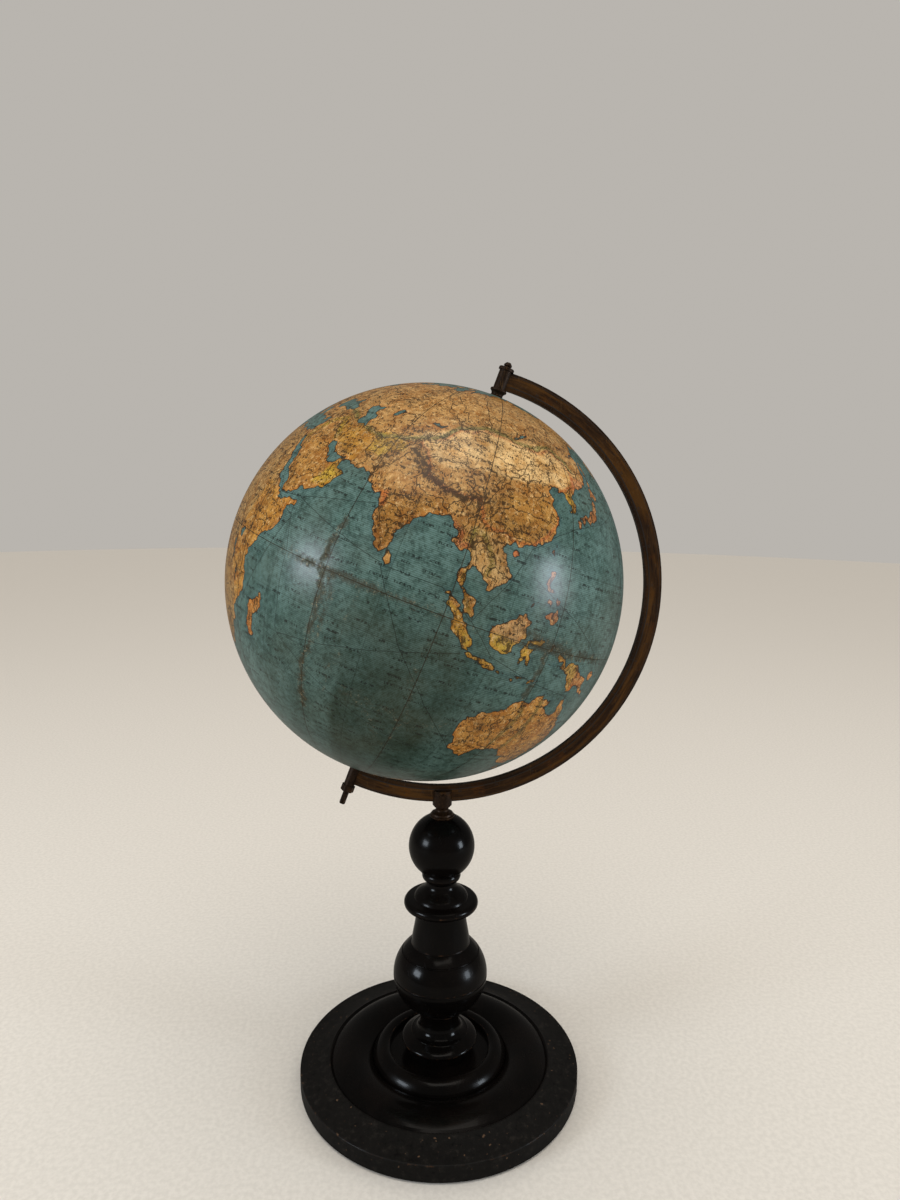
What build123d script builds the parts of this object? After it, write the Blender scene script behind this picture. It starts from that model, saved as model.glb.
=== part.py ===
"""Desktop globe on a turned stand: one STEP file per piece, written to parts/.

Millimetres, +Z up. The origin is the centre of the felt under the base, on the axis of the
turned stand. The brass half meridian lies in the XZ plane and holds the globe's axle, which
leans towards +X at its north end. Pieces of the globe are drawn upright about their own
axle first, with the globe's centre at zero, and are then tilted into place.
"""
import os
from math import acos, cos, degrees, hypot, pi, radians, sin, sqrt

from build123d import *

# ---- Fits -------------------------------------------------------------------------------
glue_gap = 0.05            # radial gap of a glued or screwed joint
running_gap = 0.05         # radial gap of a bush on its axle
end_gap = 0.3              # gap between a turning end face and a fixed one
mortise_spare = 1.0        # depth left under a tenon

# ---- Globe ------------------------------------------------------------------------------
globe_radius = 160.0
axis_tilt = 20.2           # lean of the axle from the vertical, degrees
gore_count = 12
first_seam = 7.5           # longitude of one gore seam, degrees east
front_longitude = 95.8     # longitude that faces -Y at rest, degrees east
paper_thickness = 0.4
seam_width = 0.12          # bare line between two gores at the equator
shell_wall = 4.0
strip_width = 30.0         # linen-and-card strip inside the equator joint
strip_thickness = 1.5
pole_block_radius = 32.0
pole_block_depth = 20.0
axis_tube_radius = 12.0
axis_tube_wall = 4.0

# ---- Axle and its fittings --------------------------------------------------------------
axle_radius = 2.4
bush_radius = 4.6
collar_foot_radius = 7.0
collar_waist_radius = 4.8
collar_lip_radius = 6.8
lip_thickness = 2.1
north_sleeve_radius = 5.1
south_sleeve_radius = 4.5
sleeve_overhang = 0.6      # how far a sleeve stands out past the meridian's outer edge
south_sleeve_overhang = 2.3
cap_radius = 6.3
cap_thickness = 2.4
knob_radius = 3.4
knob_height = 4.4
nut_radius = 5.9
nut_height = 5.2
axle_tail = 12.0           # thread showing below the nut

# ---- Half meridian ----------------------------------------------------------------------
pole_clearance = 7.3       # globe surface to the meridian's inner edge, at the poles
meridian_offset = 17.0     # meridian's centre from the globe's, square to the axle
meridian_width = 14.6      # radial width of the band
meridian_thickness = 5.0
meridian_chamfer = 0.9

# ---- Brass fork on the ball -------------------------------------------------------------
fork_radius = 8.3
fork_height = 14.0
fork_floor = 3.4           # solid brass under the slot
fork_stem_height = 8.0
stem_waist_radius = 5.5
stem_foot_radius = 9.6
stem_head_radius = 7.1
fork_pin_radius = 1.6
fork_pin_head_radius = 2.6
fork_pin_head_height = 0.8
ball_washer_radius = 10.6
ball_washer_thickness = 1.6
stud_radius = 3.0
stud_depth = 26.0          # stud let into the ball
stud_rise = 6.0            # stud let into the fork's stem

# ---- Turned stand, from the floor up ----------------------------------------------------
felt_thickness = 1.5
felt_margin = 5.0          # felt kept back from the base's edge
base_radius = 123.0
base_side_height = 15.0
arris = 1.2                # rounding of the base's top and bottom edges
rim_rise = 5.0             # rise of the satin rim towards the fine line
line_depth = 1.3
line_width = 3.2
swell_width = 34.5
swell_rise = 4.8
valley_depth = 1.6
dome_width = 15.0
dome_rise = 10.6
hollow_width = 11.0        # flat hollow round the pedestal
hollow_depth = 6.4
pedestal_radius = 33.3
pedestal_neck_radius = 27.0
pedestal_neck_height = 10.5
pedestal_lip = 4.5
pedestal_step_radius = 25.0
pedestal_step_rise = 3.6
pedestal_waist_radius = 17.2
pedestal_waist_height = 19.0
ring_radius = 18.4
ring_height = 2.8
bulb_radius = 41.3
bulb_lower_height = 33.0
bulb_upper_height = 29.0
bulb_shoulder_radius = 25.8
vase_foot_radius = 25.4
vase_top_radius = 21.9
vase_height = 33.0
flange_radius = 32.3
flange_thickness = 8.4
ogee_radius = 21.3
ogee_rise = 15.0
collar_neck_radius = 13.0
bead_radius = 16.8
bead_height = 9.0
ball_radius = 28.5
ball_seat_radius = 16.3
ball_top_radius = 9.8
groove_radius = 0.7
lower_tenon_radius = 12.0
tenon_radius = 8.0
tenon_depth = 10.5
screw_radius = 3.0
screw_tip = 4.0
screw_spare = 3.0          # wood left between the screw's tip and the baluster's tenon
screw_head_radius = 6.0
screw_head_height = 3.6
screw_washer_radius = 9.0
screw_washer_thickness = 1.4
counterbore_radius = 11.0

# ---- Heights and radii that follow ------------------------------------------------------
rim_top = felt_thickness + base_side_height + rim_rise
hollow_outer_radius = pedestal_radius + hollow_width
dome_outer_radius = hollow_outer_radius + dome_width
swell_outer_radius = dome_outer_radius + swell_width
line_outer_radius = swell_outer_radius + line_width
valley_z = rim_top - valley_depth
swell_top = rim_top + swell_rise
dome_top = valley_z + dome_rise
hollow_z = dome_top - hollow_depth

pedestal_lip_z = hollow_z + pedestal_neck_height
pedestal_step_z = pedestal_lip_z + pedestal_lip + pedestal_step_rise
pedestal_top = pedestal_step_z + pedestal_waist_height
bulb_bottom = pedestal_top + ring_height
bulb_middle = bulb_bottom + bulb_lower_height
bulb_top = bulb_middle + bulb_upper_height
baluster_top = bulb_top + vase_height
flange_top = baluster_top + flange_thickness
ogee_top = flange_top + ogee_rise
collar_top = ogee_top + bead_height
ball_centre_z = collar_top + sqrt(ball_radius**2 - ball_seat_radius**2)
ball_top = ball_centre_z + sqrt(ball_radius**2 - ball_top_radius**2)
stem_z = ball_top + ball_washer_thickness
screw_shank_bottom = felt_thickness + screw_head_height
screw_tip_z = pedestal_top - tenon_depth - mortise_spare - screw_spare
fork_z = stem_z + fork_stem_height
slot_z = fork_z + fork_floor

meridian_inner_radius = hypot(globe_radius + pole_clearance, meridian_offset)
meridian_outer_radius = meridian_inner_radius + meridian_width
meridian_centre_z = slot_z + glue_gap + meridian_outer_radius
pole_edge = sqrt(meridian_outer_radius**2 - meridian_offset**2)   # band's outer edge on the axle
globe_x = -meridian_offset * cos(radians(axis_tilt))
globe_z = meridian_centre_z + meridian_offset * sin(radians(axis_tilt))
tilted = Location((globe_x, 0, globe_z), (0, axis_tilt, 0))

paper_inner_radius = globe_radius - paper_thickness
shell_outer_radius = paper_inner_radius - glue_gap
shell_inner_radius = shell_outer_radius - shell_wall
block_radius = shell_inner_radius - glue_gap
block_floor = block_radius - pole_block_depth
bush_top = globe_radius + glue_gap
bush_hole_radius = bush_radius + glue_gap
axle_hole_radius = axle_radius + glue_gap
sleeve_bottom = globe_radius + pole_clearance
polar_collar_top = sleeve_bottom - end_gap
north_sleeve_top = pole_edge + sleeve_overhang
south_sleeve_top = pole_edge + south_sleeve_overhang
nut_top = south_sleeve_top + nut_height


# ---- Helpers ----------------------------------------------------------------------------
def turned(*edges):
    """Turn an outline of (radius, height) edges, which ends on the axis, about Z."""
    run = Curve() + list(edges)
    start = edges[0] @ 0
    end = edges[-1] @ 1
    closed = run + Line(end, start)
    return revolve(Plane.XZ * make_face(closed), Axis.Z)


def rod(radius, bottom, top, centre=(0, 0)):
    """A plain upright cylinder between two heights."""
    place = Location((centre[0], centre[1], bottom))
    return place * Cylinder(radius, top - bottom, align=(Align.CENTER, Align.CENTER, Align.MIN))


def tube(outer, inner, bottom, top):
    """An upright tube between two heights."""
    return rod(outer, bottom, top) - rod(inner, bottom - 1, top + 1)


def mortise(radius, seat, depth):
    """The hole that takes a tenon which hangs down from a seat."""
    return rod(radius + glue_gap, seat - depth - mortise_spare, seat + 1)


def groove(radius, height):
    """A fine turned line round a piece."""
    ring = Plane.XZ * (Pos(radius, height) * Circle(groove_radius))
    return revolve(ring, Axis.Z)


def ellipse_run(radius, rise, middle, first, last, count=6):
    """Part of an ellipse about the axis, from one angle to another, in degrees."""
    angles = [radians(first + (last - first) * i / (count - 1)) for i in range(count)]
    return Spline(*[(radius * cos(a), middle + rise * sin(a)) for a in angles])


# ---- Turned stand -----------------------------------------------------------------------
def felt_pad():
    return rod(base_radius - felt_margin, 0, felt_thickness)


def base_disc():
    """Broad foot: satin rim, fine line, glossy swelling, dome and a hollow for the pedestal."""
    bottom = felt_thickness
    side_top = bottom + base_side_height
    r_line = (line_outer_radius + swell_outer_radius) / 2
    r_swell = (swell_outer_radius + dome_outer_radius) / 2
    r_in = hollow_outer_radius
    r_out = dome_outer_radius
    body = turned(
        Line((0, bottom), (base_radius - arris, bottom)),
        RadiusArc((base_radius - arris, bottom), (base_radius, bottom + arris), -arris),
        Line((base_radius, bottom + arris), (base_radius, side_top - arris)),
        RadiusArc((base_radius, side_top - arris), (base_radius - arris, side_top), -arris),
        Spline(
            (base_radius - arris, side_top),
            (0.45 * base_radius + 0.55 * line_outer_radius, side_top + 0.35 * rim_rise),
            (line_outer_radius, rim_top),
        ),
        Line((line_outer_radius, rim_top), (r_line, rim_top - line_depth)),
        Line((r_line, rim_top - line_depth), (swell_outer_radius, rim_top)),
        ThreePointArc((swell_outer_radius, rim_top), (r_swell, swell_top), (r_out + 1, valley_z + 1)),
        Line((r_out + 1, valley_z + 1), (r_out, valley_z)),
        Spline(
            (r_out, valley_z),
            (r_out - 0.22 * dome_width, valley_z + 0.62 * dome_rise),
            (r_out - 0.62 * dome_width, dome_top),
            (r_in, dome_top - 0.2 * dome_rise),
        ),
        Line((r_in, dome_top - 0.2 * dome_rise), (r_in - 1, hollow_z)),
        Line((r_in - 1, hollow_z), (0, hollow_z)),
    )
    body -= mortise(lower_tenon_radius, hollow_z, tenon_depth)
    head_room = screw_washer_thickness + screw_head_height
    body -= rod(counterbore_radius, bottom - 1, bottom + head_room)
    body -= rod(screw_radius + glue_gap, bottom, hollow_z)
    return body


def base_washer():
    top = felt_thickness + screw_head_height + screw_washer_thickness
    return tube(screw_washer_radius, screw_radius + glue_gap, top - screw_washer_thickness, top)


def base_screw():
    """Wood screw that draws the pedestal down on the base from below."""
    head = rod(screw_head_radius, felt_thickness + glue_gap, screw_shank_bottom)
    head -= Pos(0, 0, felt_thickness) * Box(2 * screw_head_radius + 2, 1.4, 2.4)
    shank = rod(screw_radius, screw_shank_bottom, screw_tip_z - screw_tip)
    point = Pos(0, 0, screw_tip_z - screw_tip) * Cone(
        screw_radius, 0.4, screw_tip, align=(Align.CENTER, Align.CENTER, Align.MIN)
    )
    return head + shank + point


def pedestal():
    """Spreading foot of the column, with a tenon that goes down into the base."""
    lip_top = pedestal_lip_z + pedestal_lip
    body = turned(
        Line((0, hollow_z), (pedestal_neck_radius, hollow_z)),
        Line((pedestal_neck_radius, hollow_z), (pedestal_neck_radius, pedestal_lip_z - 1.4)),
        Line((pedestal_neck_radius, pedestal_lip_z - 1.4), (pedestal_radius - 1, pedestal_lip_z)),
        Spline(
            (pedestal_radius - 1, pedestal_lip_z),
            (pedestal_radius, pedestal_lip_z + 0.35 * pedestal_lip),
            (pedestal_radius - 2.2, lip_top),
            (pedestal_step_radius, pedestal_step_z),
        ),
        Spline(
            (pedestal_step_radius, pedestal_step_z),
            (pedestal_waist_radius + 2.0, pedestal_step_z + 0.18 * pedestal_waist_height),
            (pedestal_waist_radius, pedestal_step_z + 0.5 * pedestal_waist_height),
            (pedestal_waist_radius + 0.5, pedestal_top),
        ),
        Line((pedestal_waist_radius + 0.5, pedestal_top), (0, pedestal_top)),
    )
    body += rod(lower_tenon_radius, hollow_z - tenon_depth, hollow_z)
    body -= mortise(tenon_radius, pedestal_top, tenon_depth)
    body -= rod(screw_radius + glue_gap, hollow_z - tenon_depth - 1, screw_tip_z + glue_gap)
    return body


def baluster():
    """Bulb and vase neck in one turning."""
    mid_ring = pedestal_top + ring_height / 2
    first = -degrees(acos((ring_radius - 0.8) / bulb_radius))
    last = degrees(acos(bulb_shoulder_radius / bulb_radius))
    lower = ellipse_run(bulb_radius, bulb_lower_height / sin(radians(-first)), bulb_middle, first, 0)
    upper = ellipse_run(bulb_radius, bulb_upper_height / sin(radians(last)), bulb_middle, 0, last)
    body = turned(
        Line((0, pedestal_top), (ring_radius - 0.9, pedestal_top)),
        ThreePointArc(
            (ring_radius - 0.9, pedestal_top), (ring_radius, mid_ring), (ring_radius - 0.8, bulb_bottom)
        ),
        lower,
        upper,
        Line((bulb_shoulder_radius, bulb_top), (vase_foot_radius, bulb_top + 1.2)),
        Spline(
            (vase_foot_radius, bulb_top + 1.2),
            (0.45 * vase_foot_radius + 0.55 * vase_top_radius, bulb_top + 0.42 * vase_height),
            (vase_top_radius, bulb_top + 0.8 * vase_height),
            (vase_top_radius + 0.5, baluster_top),
        ),
        Line((vase_top_radius + 0.5, baluster_top), (0, baluster_top)),
    )
    body += rod(tenon_radius, pedestal_top - tenon_depth, pedestal_top)
    body -= mortise(tenon_radius, baluster_top, tenon_depth)
    body -= groove(bulb_radius, bulb_middle)
    rise = 0.745 * bulb_upper_height
    full_rise = bulb_upper_height / sin(radians(last))
    body -= groove(bulb_radius * sqrt(1 - (rise / full_rise) ** 2), bulb_middle + rise)
    return body


def collar():
    """Flange, ogee and bead under the ball."""
    half = flange_thickness / 2
    lip = flange_radius - half
    under = vase_top_radius + 0.5
    bead_z = ogee_top + 0.6 * bead_height
    body = turned(
        Line((0, baluster_top), (lip, baluster_top)),
        ThreePointArc((lip, baluster_top), (flange_radius, baluster_top + half), (lip, flange_top)),
        Line((lip, flange_top), (under + 1.5, flange_top + 0.6)),
        Spline(
            (under + 1.5, flange_top + 0.6),
            (ogee_radius, flange_top + 0.3 * ogee_rise),
            (collar_neck_radius + 2.4, flange_top + 0.62 * ogee_rise),
            (collar_neck_radius, ogee_top),
        ),
        Line((collar_neck_radius, ogee_top), (bead_radius - 1.6, ogee_top + 0.25 * bead_height)),
        ThreePointArc(
            (bead_radius - 1.6, ogee_top + 0.25 * bead_height),
            (bead_radius, bead_z),
            (ball_seat_radius - 0.6, collar_top),
        ),
        Line((ball_seat_radius - 0.6, collar_top), (0, collar_top)),
    )
    body += rod(tenon_radius, baluster_top - tenon_depth, baluster_top)
    body -= mortise(tenon_radius, collar_top, tenon_depth)
    return body


def ball():
    sphere = Pos(0, 0, ball_centre_z) * Sphere(ball_radius)
    body = sphere & rod(2 * ball_radius, collar_top, ball_top)
    body += rod(tenon_radius, collar_top - tenon_depth, collar_top)
    body -= rod(stud_radius + glue_gap, ball_top - stud_depth - mortise_spare, ball_top + 1)
    return body


# ---- Fork on the ball -------------------------------------------------------------------
def ball_washer():
    ring = tube(ball_washer_radius, stud_radius + glue_gap, ball_top, stem_z)
    return chamfer(ring.edges().group_by(Axis.Z)[-1].sort_by(SortBy.RADIUS)[-1], 0.5)


def fork_stud():
    return rod(stud_radius, ball_top - stud_depth, stem_z + stud_rise)


def meridian_fork():
    """Turned stem with a slotted head that straddles the half meridian."""
    waist_z = stem_z + 0.62 * fork_stem_height
    body = turned(
        Line((0, stem_z), (stem_foot_radius, stem_z)),
        Line((stem_foot_radius, stem_z), (stem_foot_radius - 0.4, stem_z + 1.4)),
        Spline(
            (stem_foot_radius - 0.4, stem_z + 1.4),
            (stem_waist_radius, waist_z),
            (stem_head_radius, fork_z - 0.8),
        ),
        Line((stem_head_radius, fork_z - 0.8), (stem_head_radius, fork_z)),
        Line((stem_head_radius, fork_z), (fork_radius, fork_z + 0.6)),
        Line((fork_radius, fork_z + 0.6), (fork_radius, fork_z + fork_height)),
        Line((fork_radius, fork_z + fork_height), (0, fork_z + fork_height)),
    )
    slot = Box(3 * fork_radius, meridian_thickness + 2 * glue_gap, fork_height)
    body -= Pos(0, 0, slot_z + fork_height / 2) * slot
    body -= rod(stud_radius + glue_gap, stem_z - 1, stem_z + stud_rise + 0.2)
    body -= fork_pin_bore()
    return body


def fork_pin_z():
    return slot_z + 0.56 * (fork_z + fork_height - slot_z)


def fork_pin_bore():
    place = Pos(0, 0, fork_pin_z()) * Rot(90, 0, 0)
    return place * Cylinder(fork_pin_radius + glue_gap, 4 * fork_radius)


def fork_pin():
    """Rivet through both cheeks and the band, with a low round head at each end."""
    place = Pos(0, 0, fork_pin_z()) * Rot(90, 0, 0)
    reach = fork_radius + glue_gap
    pin = place * Cylinder(fork_pin_radius, 2 * (reach + fork_pin_head_height))
    for side in (-1, 1):
        middle = side * (reach + fork_pin_head_height / 2)
        pin += Pos(0, middle, fork_pin_z()) * Rot(90, 0, 0) * Cylinder(
            fork_pin_head_radius, fork_pin_head_height
        )
    return pin


# ---- Half meridian ----------------------------------------------------------------------
def half_meridian():
    """Flat brass band from pole to pole, drawn upright beside the axle, then tilted."""
    centre = Pos(meridian_offset, 0, 0) * Rot(90, 0, 0)
    band = centre * Cylinder(meridian_outer_radius, meridian_thickness)
    rims = band.edges().filter_by(GeomType.CIRCLE)
    band = chamfer(rims, meridian_chamfer)
    band -= centre * Cylinder(meridian_inner_radius, 2 * meridian_thickness)
    reach = 3 * meridian_outer_radius
    band &= Pos(reach / 2, 0, 0) * Box(reach, reach, 2 * reach)
    band -= rod(north_sleeve_radius + glue_gap, 0, 2 * meridian_outer_radius)
    band -= rod(south_sleeve_radius + glue_gap, -2 * meridian_outer_radius, 0)
    band = tilted * band
    return band - fork_pin_bore()


# ---- Axle and fittings, upright about the axle ------------------------------------------
def axle():
    return tilted * rod(axle_radius, -(nut_top + axle_tail), north_sleeve_top + cap_thickness)


def polar_collar():
    """Spool nailed to a pole of the globe: flared foot, waist and a lip below the meridian."""
    top = polar_collar_top
    lip_bottom = top - lip_thickness
    body = turned(
        Line((0, bush_top), (collar_foot_radius, bush_top)),
        Spline(
            (collar_foot_radius, bush_top),
            (collar_waist_radius, (bush_top + lip_bottom) / 2),
            (collar_lip_radius - 0.5, lip_bottom),
        ),
        ThreePointArc(
            (collar_lip_radius - 0.5, lip_bottom),
            (collar_lip_radius, (lip_bottom + top) / 2),
            (collar_lip_radius - 0.5, top),
        ),
        Line((collar_lip_radius - 0.5, top), (0, top)),
    )
    return body - rod(axle_radius + running_gap, 0, 2 * globe_radius)


def north_sleeve():
    return tilted * tube(north_sleeve_radius, axle_hole_radius, sleeve_bottom, north_sleeve_top)


def south_sleeve():
    ring = tube(south_sleeve_radius, axle_hole_radius, sleeve_bottom, south_sleeve_top)
    return tilted * Rot(180, 0, 0) * ring


def north_cap():
    """Cap nut with a flange and a small domed knob."""
    flange_z = north_sleeve_top + cap_thickness
    neck = 0.75 * knob_radius
    body = turned(
        Line((0, north_sleeve_top), (cap_radius, north_sleeve_top)),
        Line((cap_radius, north_sleeve_top), (cap_radius, flange_z - 0.5)),
        Line((cap_radius, flange_z - 0.5), (cap_radius - 0.5, flange_z)),
        Line((cap_radius - 0.5, flange_z), (neck, flange_z + 0.4)),
        Spline(
            (neck, flange_z + 0.4),
            (knob_radius, flange_z + 0.45 * knob_height),
            (0.6 * knob_radius, flange_z + 0.9 * knob_height),
            (0, flange_z + knob_height),
            tangents=((0.3, 1), (-1, 0)),
        ),
    )
    bore = rod(axle_hole_radius, north_sleeve_top - 1, flange_z + glue_gap)
    return tilted * (body - bore)


def south_nut():
    """Round-edged hexagon nut that draws the axle tight."""
    blank = Pos(0, 0, south_sleeve_top) * extrude(RegularPolygon(nut_radius, 6), nut_height)
    blank &= rod(nut_radius - 0.25, south_sleeve_top, nut_top)
    return tilted * Rot(180, 0, 0) * (blank - rod(axle_hole_radius, 0, 2 * nut_top))


# ---- Globe ------------------------------------------------------------------------------
def half_sphere_shell():
    """Northern half of the papier-mache ball, pierced for its pole bush."""
    outer = Sphere(shell_outer_radius)
    inner = Sphere(shell_inner_radius)
    upper = rod(2 * globe_radius, glue_gap / 2, 2 * globe_radius)
    return ((outer - inner) & upper) - rod(bush_hole_radius, 0, 2 * globe_radius)


def joint_strip():
    """Band glued inside the equator, half of its width in each shell."""
    reach = strip_width / 2
    outer = sqrt((shell_inner_radius - glue_gap) ** 2 - reach**2)
    return tilted * tube(outer, outer - strip_thickness, -reach, reach)


def pole_block():
    """Wooden disc glued inside the pole, with the bush let through it."""
    cap = Sphere(block_radius) & rod(pole_block_radius, block_floor, 2 * globe_radius)
    return cap - rod(bush_hole_radius, 0, 2 * globe_radius)


def pole_bush():
    return tube(bush_radius, axle_radius + running_gap, block_floor, bush_top)


def axis_tube():
    """Wooden tube that keeps the two pole blocks apart."""
    end = block_floor - glue_gap
    return tilted * tube(axis_tube_radius, axis_tube_radius - axis_tube_wall, -end, end)


def half_gore(index, side):
    """One printed paper gore from the equator to a pole, with its seam line left bare."""
    step = 360 / gore_count
    seam = seam_width / globe_radius * 180 / pi
    low = seam / 2
    high = 90 - bush_hole_radius / globe_radius * 180 / pi

    def spot(radius, latitude):
        angle = radians(latitude)
        return (radius * cos(angle), side * radius * sin(angle))

    middle = (low + high) / 2
    outline = Curve() + [
        ThreePointArc(spot(globe_radius, low), spot(globe_radius, middle), spot(globe_radius, high)),
        Line(spot(globe_radius, high), spot(paper_inner_radius, high)),
        ThreePointArc(
            spot(paper_inner_radius, high), spot(paper_inner_radius, middle), spot(paper_inner_radius, low)
        ),
        Line(spot(paper_inner_radius, low), spot(globe_radius, low)),
    ]
    sheet = revolve(Plane.XZ * make_face(outline), Axis.Z, step - seam)
    west_edge = first_seam + step * index + seam / 2 - front_longitude - 90
    return tilted * Rot(0, 0, west_edge) * sheet


# ---- Write the pieces -------------------------------------------------------------------
def pieces():
    """Every piece by name, in its place."""
    found = {
        "felt_pad": felt_pad(),
        "base_disc": base_disc(),
        "base_washer": base_washer(),
        "base_screw": base_screw(),
        "pedestal": pedestal(),
        "baluster": baluster(),
        "collar": collar(),
        "ball": ball(),
        "ball_washer": ball_washer(),
        "fork_stud": fork_stud(),
        "meridian_fork": meridian_fork(),
        "fork_pin": fork_pin(),
        "half_meridian": half_meridian(),
        "axle": axle(),
        "north_sleeve": north_sleeve(),
        "south_sleeve": south_sleeve(),
        "north_cap": north_cap(),
        "south_nut": south_nut(),
        "north_collar": tilted * polar_collar(),
        "south_collar": tilted * Rot(180, 0, 0) * polar_collar(),
        "north_shell": tilted * half_sphere_shell(),
        "south_shell": tilted * Rot(180, 0, 0) * half_sphere_shell(),
        "joint_strip": joint_strip(),
        "north_pole_block": tilted * pole_block(),
        "south_pole_block": tilted * Rot(180, 0, 0) * pole_block(),
        "north_bush": tilted * pole_bush(),
        "south_bush": tilted * Rot(180, 0, 0) * pole_bush(),
        "axis_tube": axis_tube(),
    }
    for index in range(gore_count):
        found[f"north_gore_{index + 1:02d}"] = half_gore(index, 1)
        found[f"south_gore_{index + 1:02d}"] = half_gore(index, -1)
    return found


os.makedirs("parts", exist_ok=True)
for name, shape in pieces().items():
    export_step(shape, f"parts/{name}.step")
    print(name, round(shape.volume, 1))
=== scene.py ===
# %% [markdown]
# # A desktop globe on a turned stand
# The real object has four kinds of finish: a paper map pasted in twelve gores over a
# papier-mache ball, brown brass for the half meridian and its fittings, glossy ebonised wood
# for the column, and a duller black wood for the rim of the base. The shapes of the turned
# wood and the brass come from the CAD model, which is loaded first and never changed. This
# lesson adds what the CAD model leaves out: the map, the engraving, the thread and the finishes.

# %% Load the CAD model as a fixed frame
from math import asin, cos, degrees, pi, radians, sin

import bmesh
import bpy
import numpy as np
from mathutils import Euler, Matrix, Vector


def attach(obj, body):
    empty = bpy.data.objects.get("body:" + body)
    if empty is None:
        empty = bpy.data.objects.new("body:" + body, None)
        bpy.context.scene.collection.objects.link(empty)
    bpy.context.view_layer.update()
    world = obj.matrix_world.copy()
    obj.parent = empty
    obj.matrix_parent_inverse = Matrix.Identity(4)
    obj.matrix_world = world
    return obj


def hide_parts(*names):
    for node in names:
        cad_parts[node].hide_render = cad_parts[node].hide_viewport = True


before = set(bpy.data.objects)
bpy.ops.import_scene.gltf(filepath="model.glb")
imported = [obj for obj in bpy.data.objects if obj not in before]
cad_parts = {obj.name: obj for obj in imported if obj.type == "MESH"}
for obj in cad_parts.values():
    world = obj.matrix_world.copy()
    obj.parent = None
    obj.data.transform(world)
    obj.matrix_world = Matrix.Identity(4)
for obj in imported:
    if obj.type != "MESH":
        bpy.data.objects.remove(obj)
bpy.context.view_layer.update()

MM = 0.001

# %% [markdown]
# ## Places that the CAD model fixes
# The globe's axle leans towards +X. Everything on the globe is easier to draw upright about
# its own axle and then tilted, so one matrix, `tilted`, carries upright work into place.

# %% Globe and half meridian, in metres
globe_radius = 160.0 * MM
axis_tilt = radians(20.2)
globe_centre = Vector((-0.0159544, 0.0, 0.4437223))
ring_centre = Vector((0.0, 0.0, 0.437852))
ring_inner = 168.16 * MM
ring_outer = 182.76 * MM
ring_half_thickness = 2.5 * MM
ring_offset = (ring_centre - globe_centre).length
front_longitude = 95.8
first_seam = 7.5
gore_step = 30.0
tilted = Matrix.Translation(globe_centre) @ Matrix.Rotation(axis_tilt, 4, "Y")
print("globe centre", tuple(globe_centre), "offset of the ring", round(ring_offset / MM, 2), "mm")

# %% [markdown]
# ## Camera, floor and light
# The camera stands about 70 cm from the globe with a fairly wide lens, looking slightly down.
# Two soft lights stand left and right like windows, because old varnish shows them as two cool
# glows; a warm one overhead lifts the northern half. The room itself is dimmer in reflections
# than to the eye, so that black polish stays black.

# %% Camera
def in_scene(name, data):
    """An object made from data and linked to the scene."""
    made = bpy.data.objects.new(name, data)
    bpy.context.scene.collection.objects.link(made)
    return made


camera_place = (-0.0453, -0.6777, 0.5264)
camera_tip, camera_turn, camera_roll = radians(81.88), radians(-4.2), radians(0.736)
camera = in_scene("camera", bpy.data.cameras.new("camera"))
camera.data.lens = 24.82
camera.data.sensor_width = 36.0
camera.data.clip_start = 0.01
aim = Euler((camera_tip, 0, camera_turn)).to_matrix().to_4x4()
roll = Matrix.Rotation(camera_roll, 4, "Z")
camera.matrix_world = Matrix.Translation(camera_place) @ aim @ roll
bpy.context.scene.camera = camera
bpy.context.scene.view_settings.view_transform = "Standard"
print("camera", tuple(round(v, 4) for v in camera.location))

# %% Soft lights and a pale room
def soft_light(name, direction, distance, width, height, power, colour):
    """A rectangular light that looks at the globe from one direction."""
    data = bpy.data.lights.new(name, "AREA")
    data.shape = "RECTANGLE"
    data.size = width
    data.size_y = height
    data.energy = power
    data.color = colour
    light = in_scene(name, data)
    away = Vector(direction).normalized()
    light.location = globe_centre + away * distance
    light.rotation_euler = away.to_track_quat("Z", "Y").to_euler()


soft_light("window_left", (-0.90, -0.42, 0.20), 2.2, 0.70, 0.55, 19, (0.80, 0.90, 1.0))
soft_light("window_right", (0.92, -0.39, 0.06), 2.2, 0.50, 0.65, 16, (0.80, 0.90, 1.0))
soft_light("ceiling", (0.05, -0.25, 1.0), 2.0, 1.6, 1.6, 14, (1.0, 0.93, 0.84))

skylight = in_scene("skylight", bpy.data.lights.new("skylight", "SUN"))
skylight.data.energy = 1.15
skylight.data.angle = radians(110)
skylight.data.color = (1.0, 0.96, 0.91)
skylight.visible_glossy = False

room_strength = 0.95
mirrored_strength = 0.26
world = bpy.data.worlds.new("pale_room")
world.use_nodes = True
sky = world.node_tree
background = sky.nodes["Background"]
background.inputs["Color"].default_value = (0.51, 0.485, 0.45, 1)
rays = sky.nodes.new("ShaderNodeLightPath").outputs
dim = sky.nodes.new("ShaderNodeMapRange")
dim.inputs["To Min"].default_value = room_strength
dim.inputs["To Max"].default_value = mirrored_strength
sky.links.new(rays["Is Glossy Ray"], dim.inputs["Value"])
sky.links.new(dim.outputs[0], background.inputs["Strength"])
bpy.context.scene.world = world

# %% [markdown]
# ## Small helpers for materials
# A material is a graph of nodes, kept in a node tree. `node` makes one node in the tree that
# was opened last and sets or links its inputs, so a recipe needn't say where it is written.

# %% Nodes and their inputs
open_trees = []


def feed(socket, value):
    """Link a socket to another socket, or set it to a plain value."""
    if isinstance(value, bpy.types.NodeSocket):
        socket.id_data.links.new(value, socket)
    else:
        socket.default_value = value


def feed_all(made, **values):
    """Feed inputs by name, with _ for each space in the name."""
    for key, value in values.items():
        feed(made.inputs[key.replace("_", " ")], value)


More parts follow.
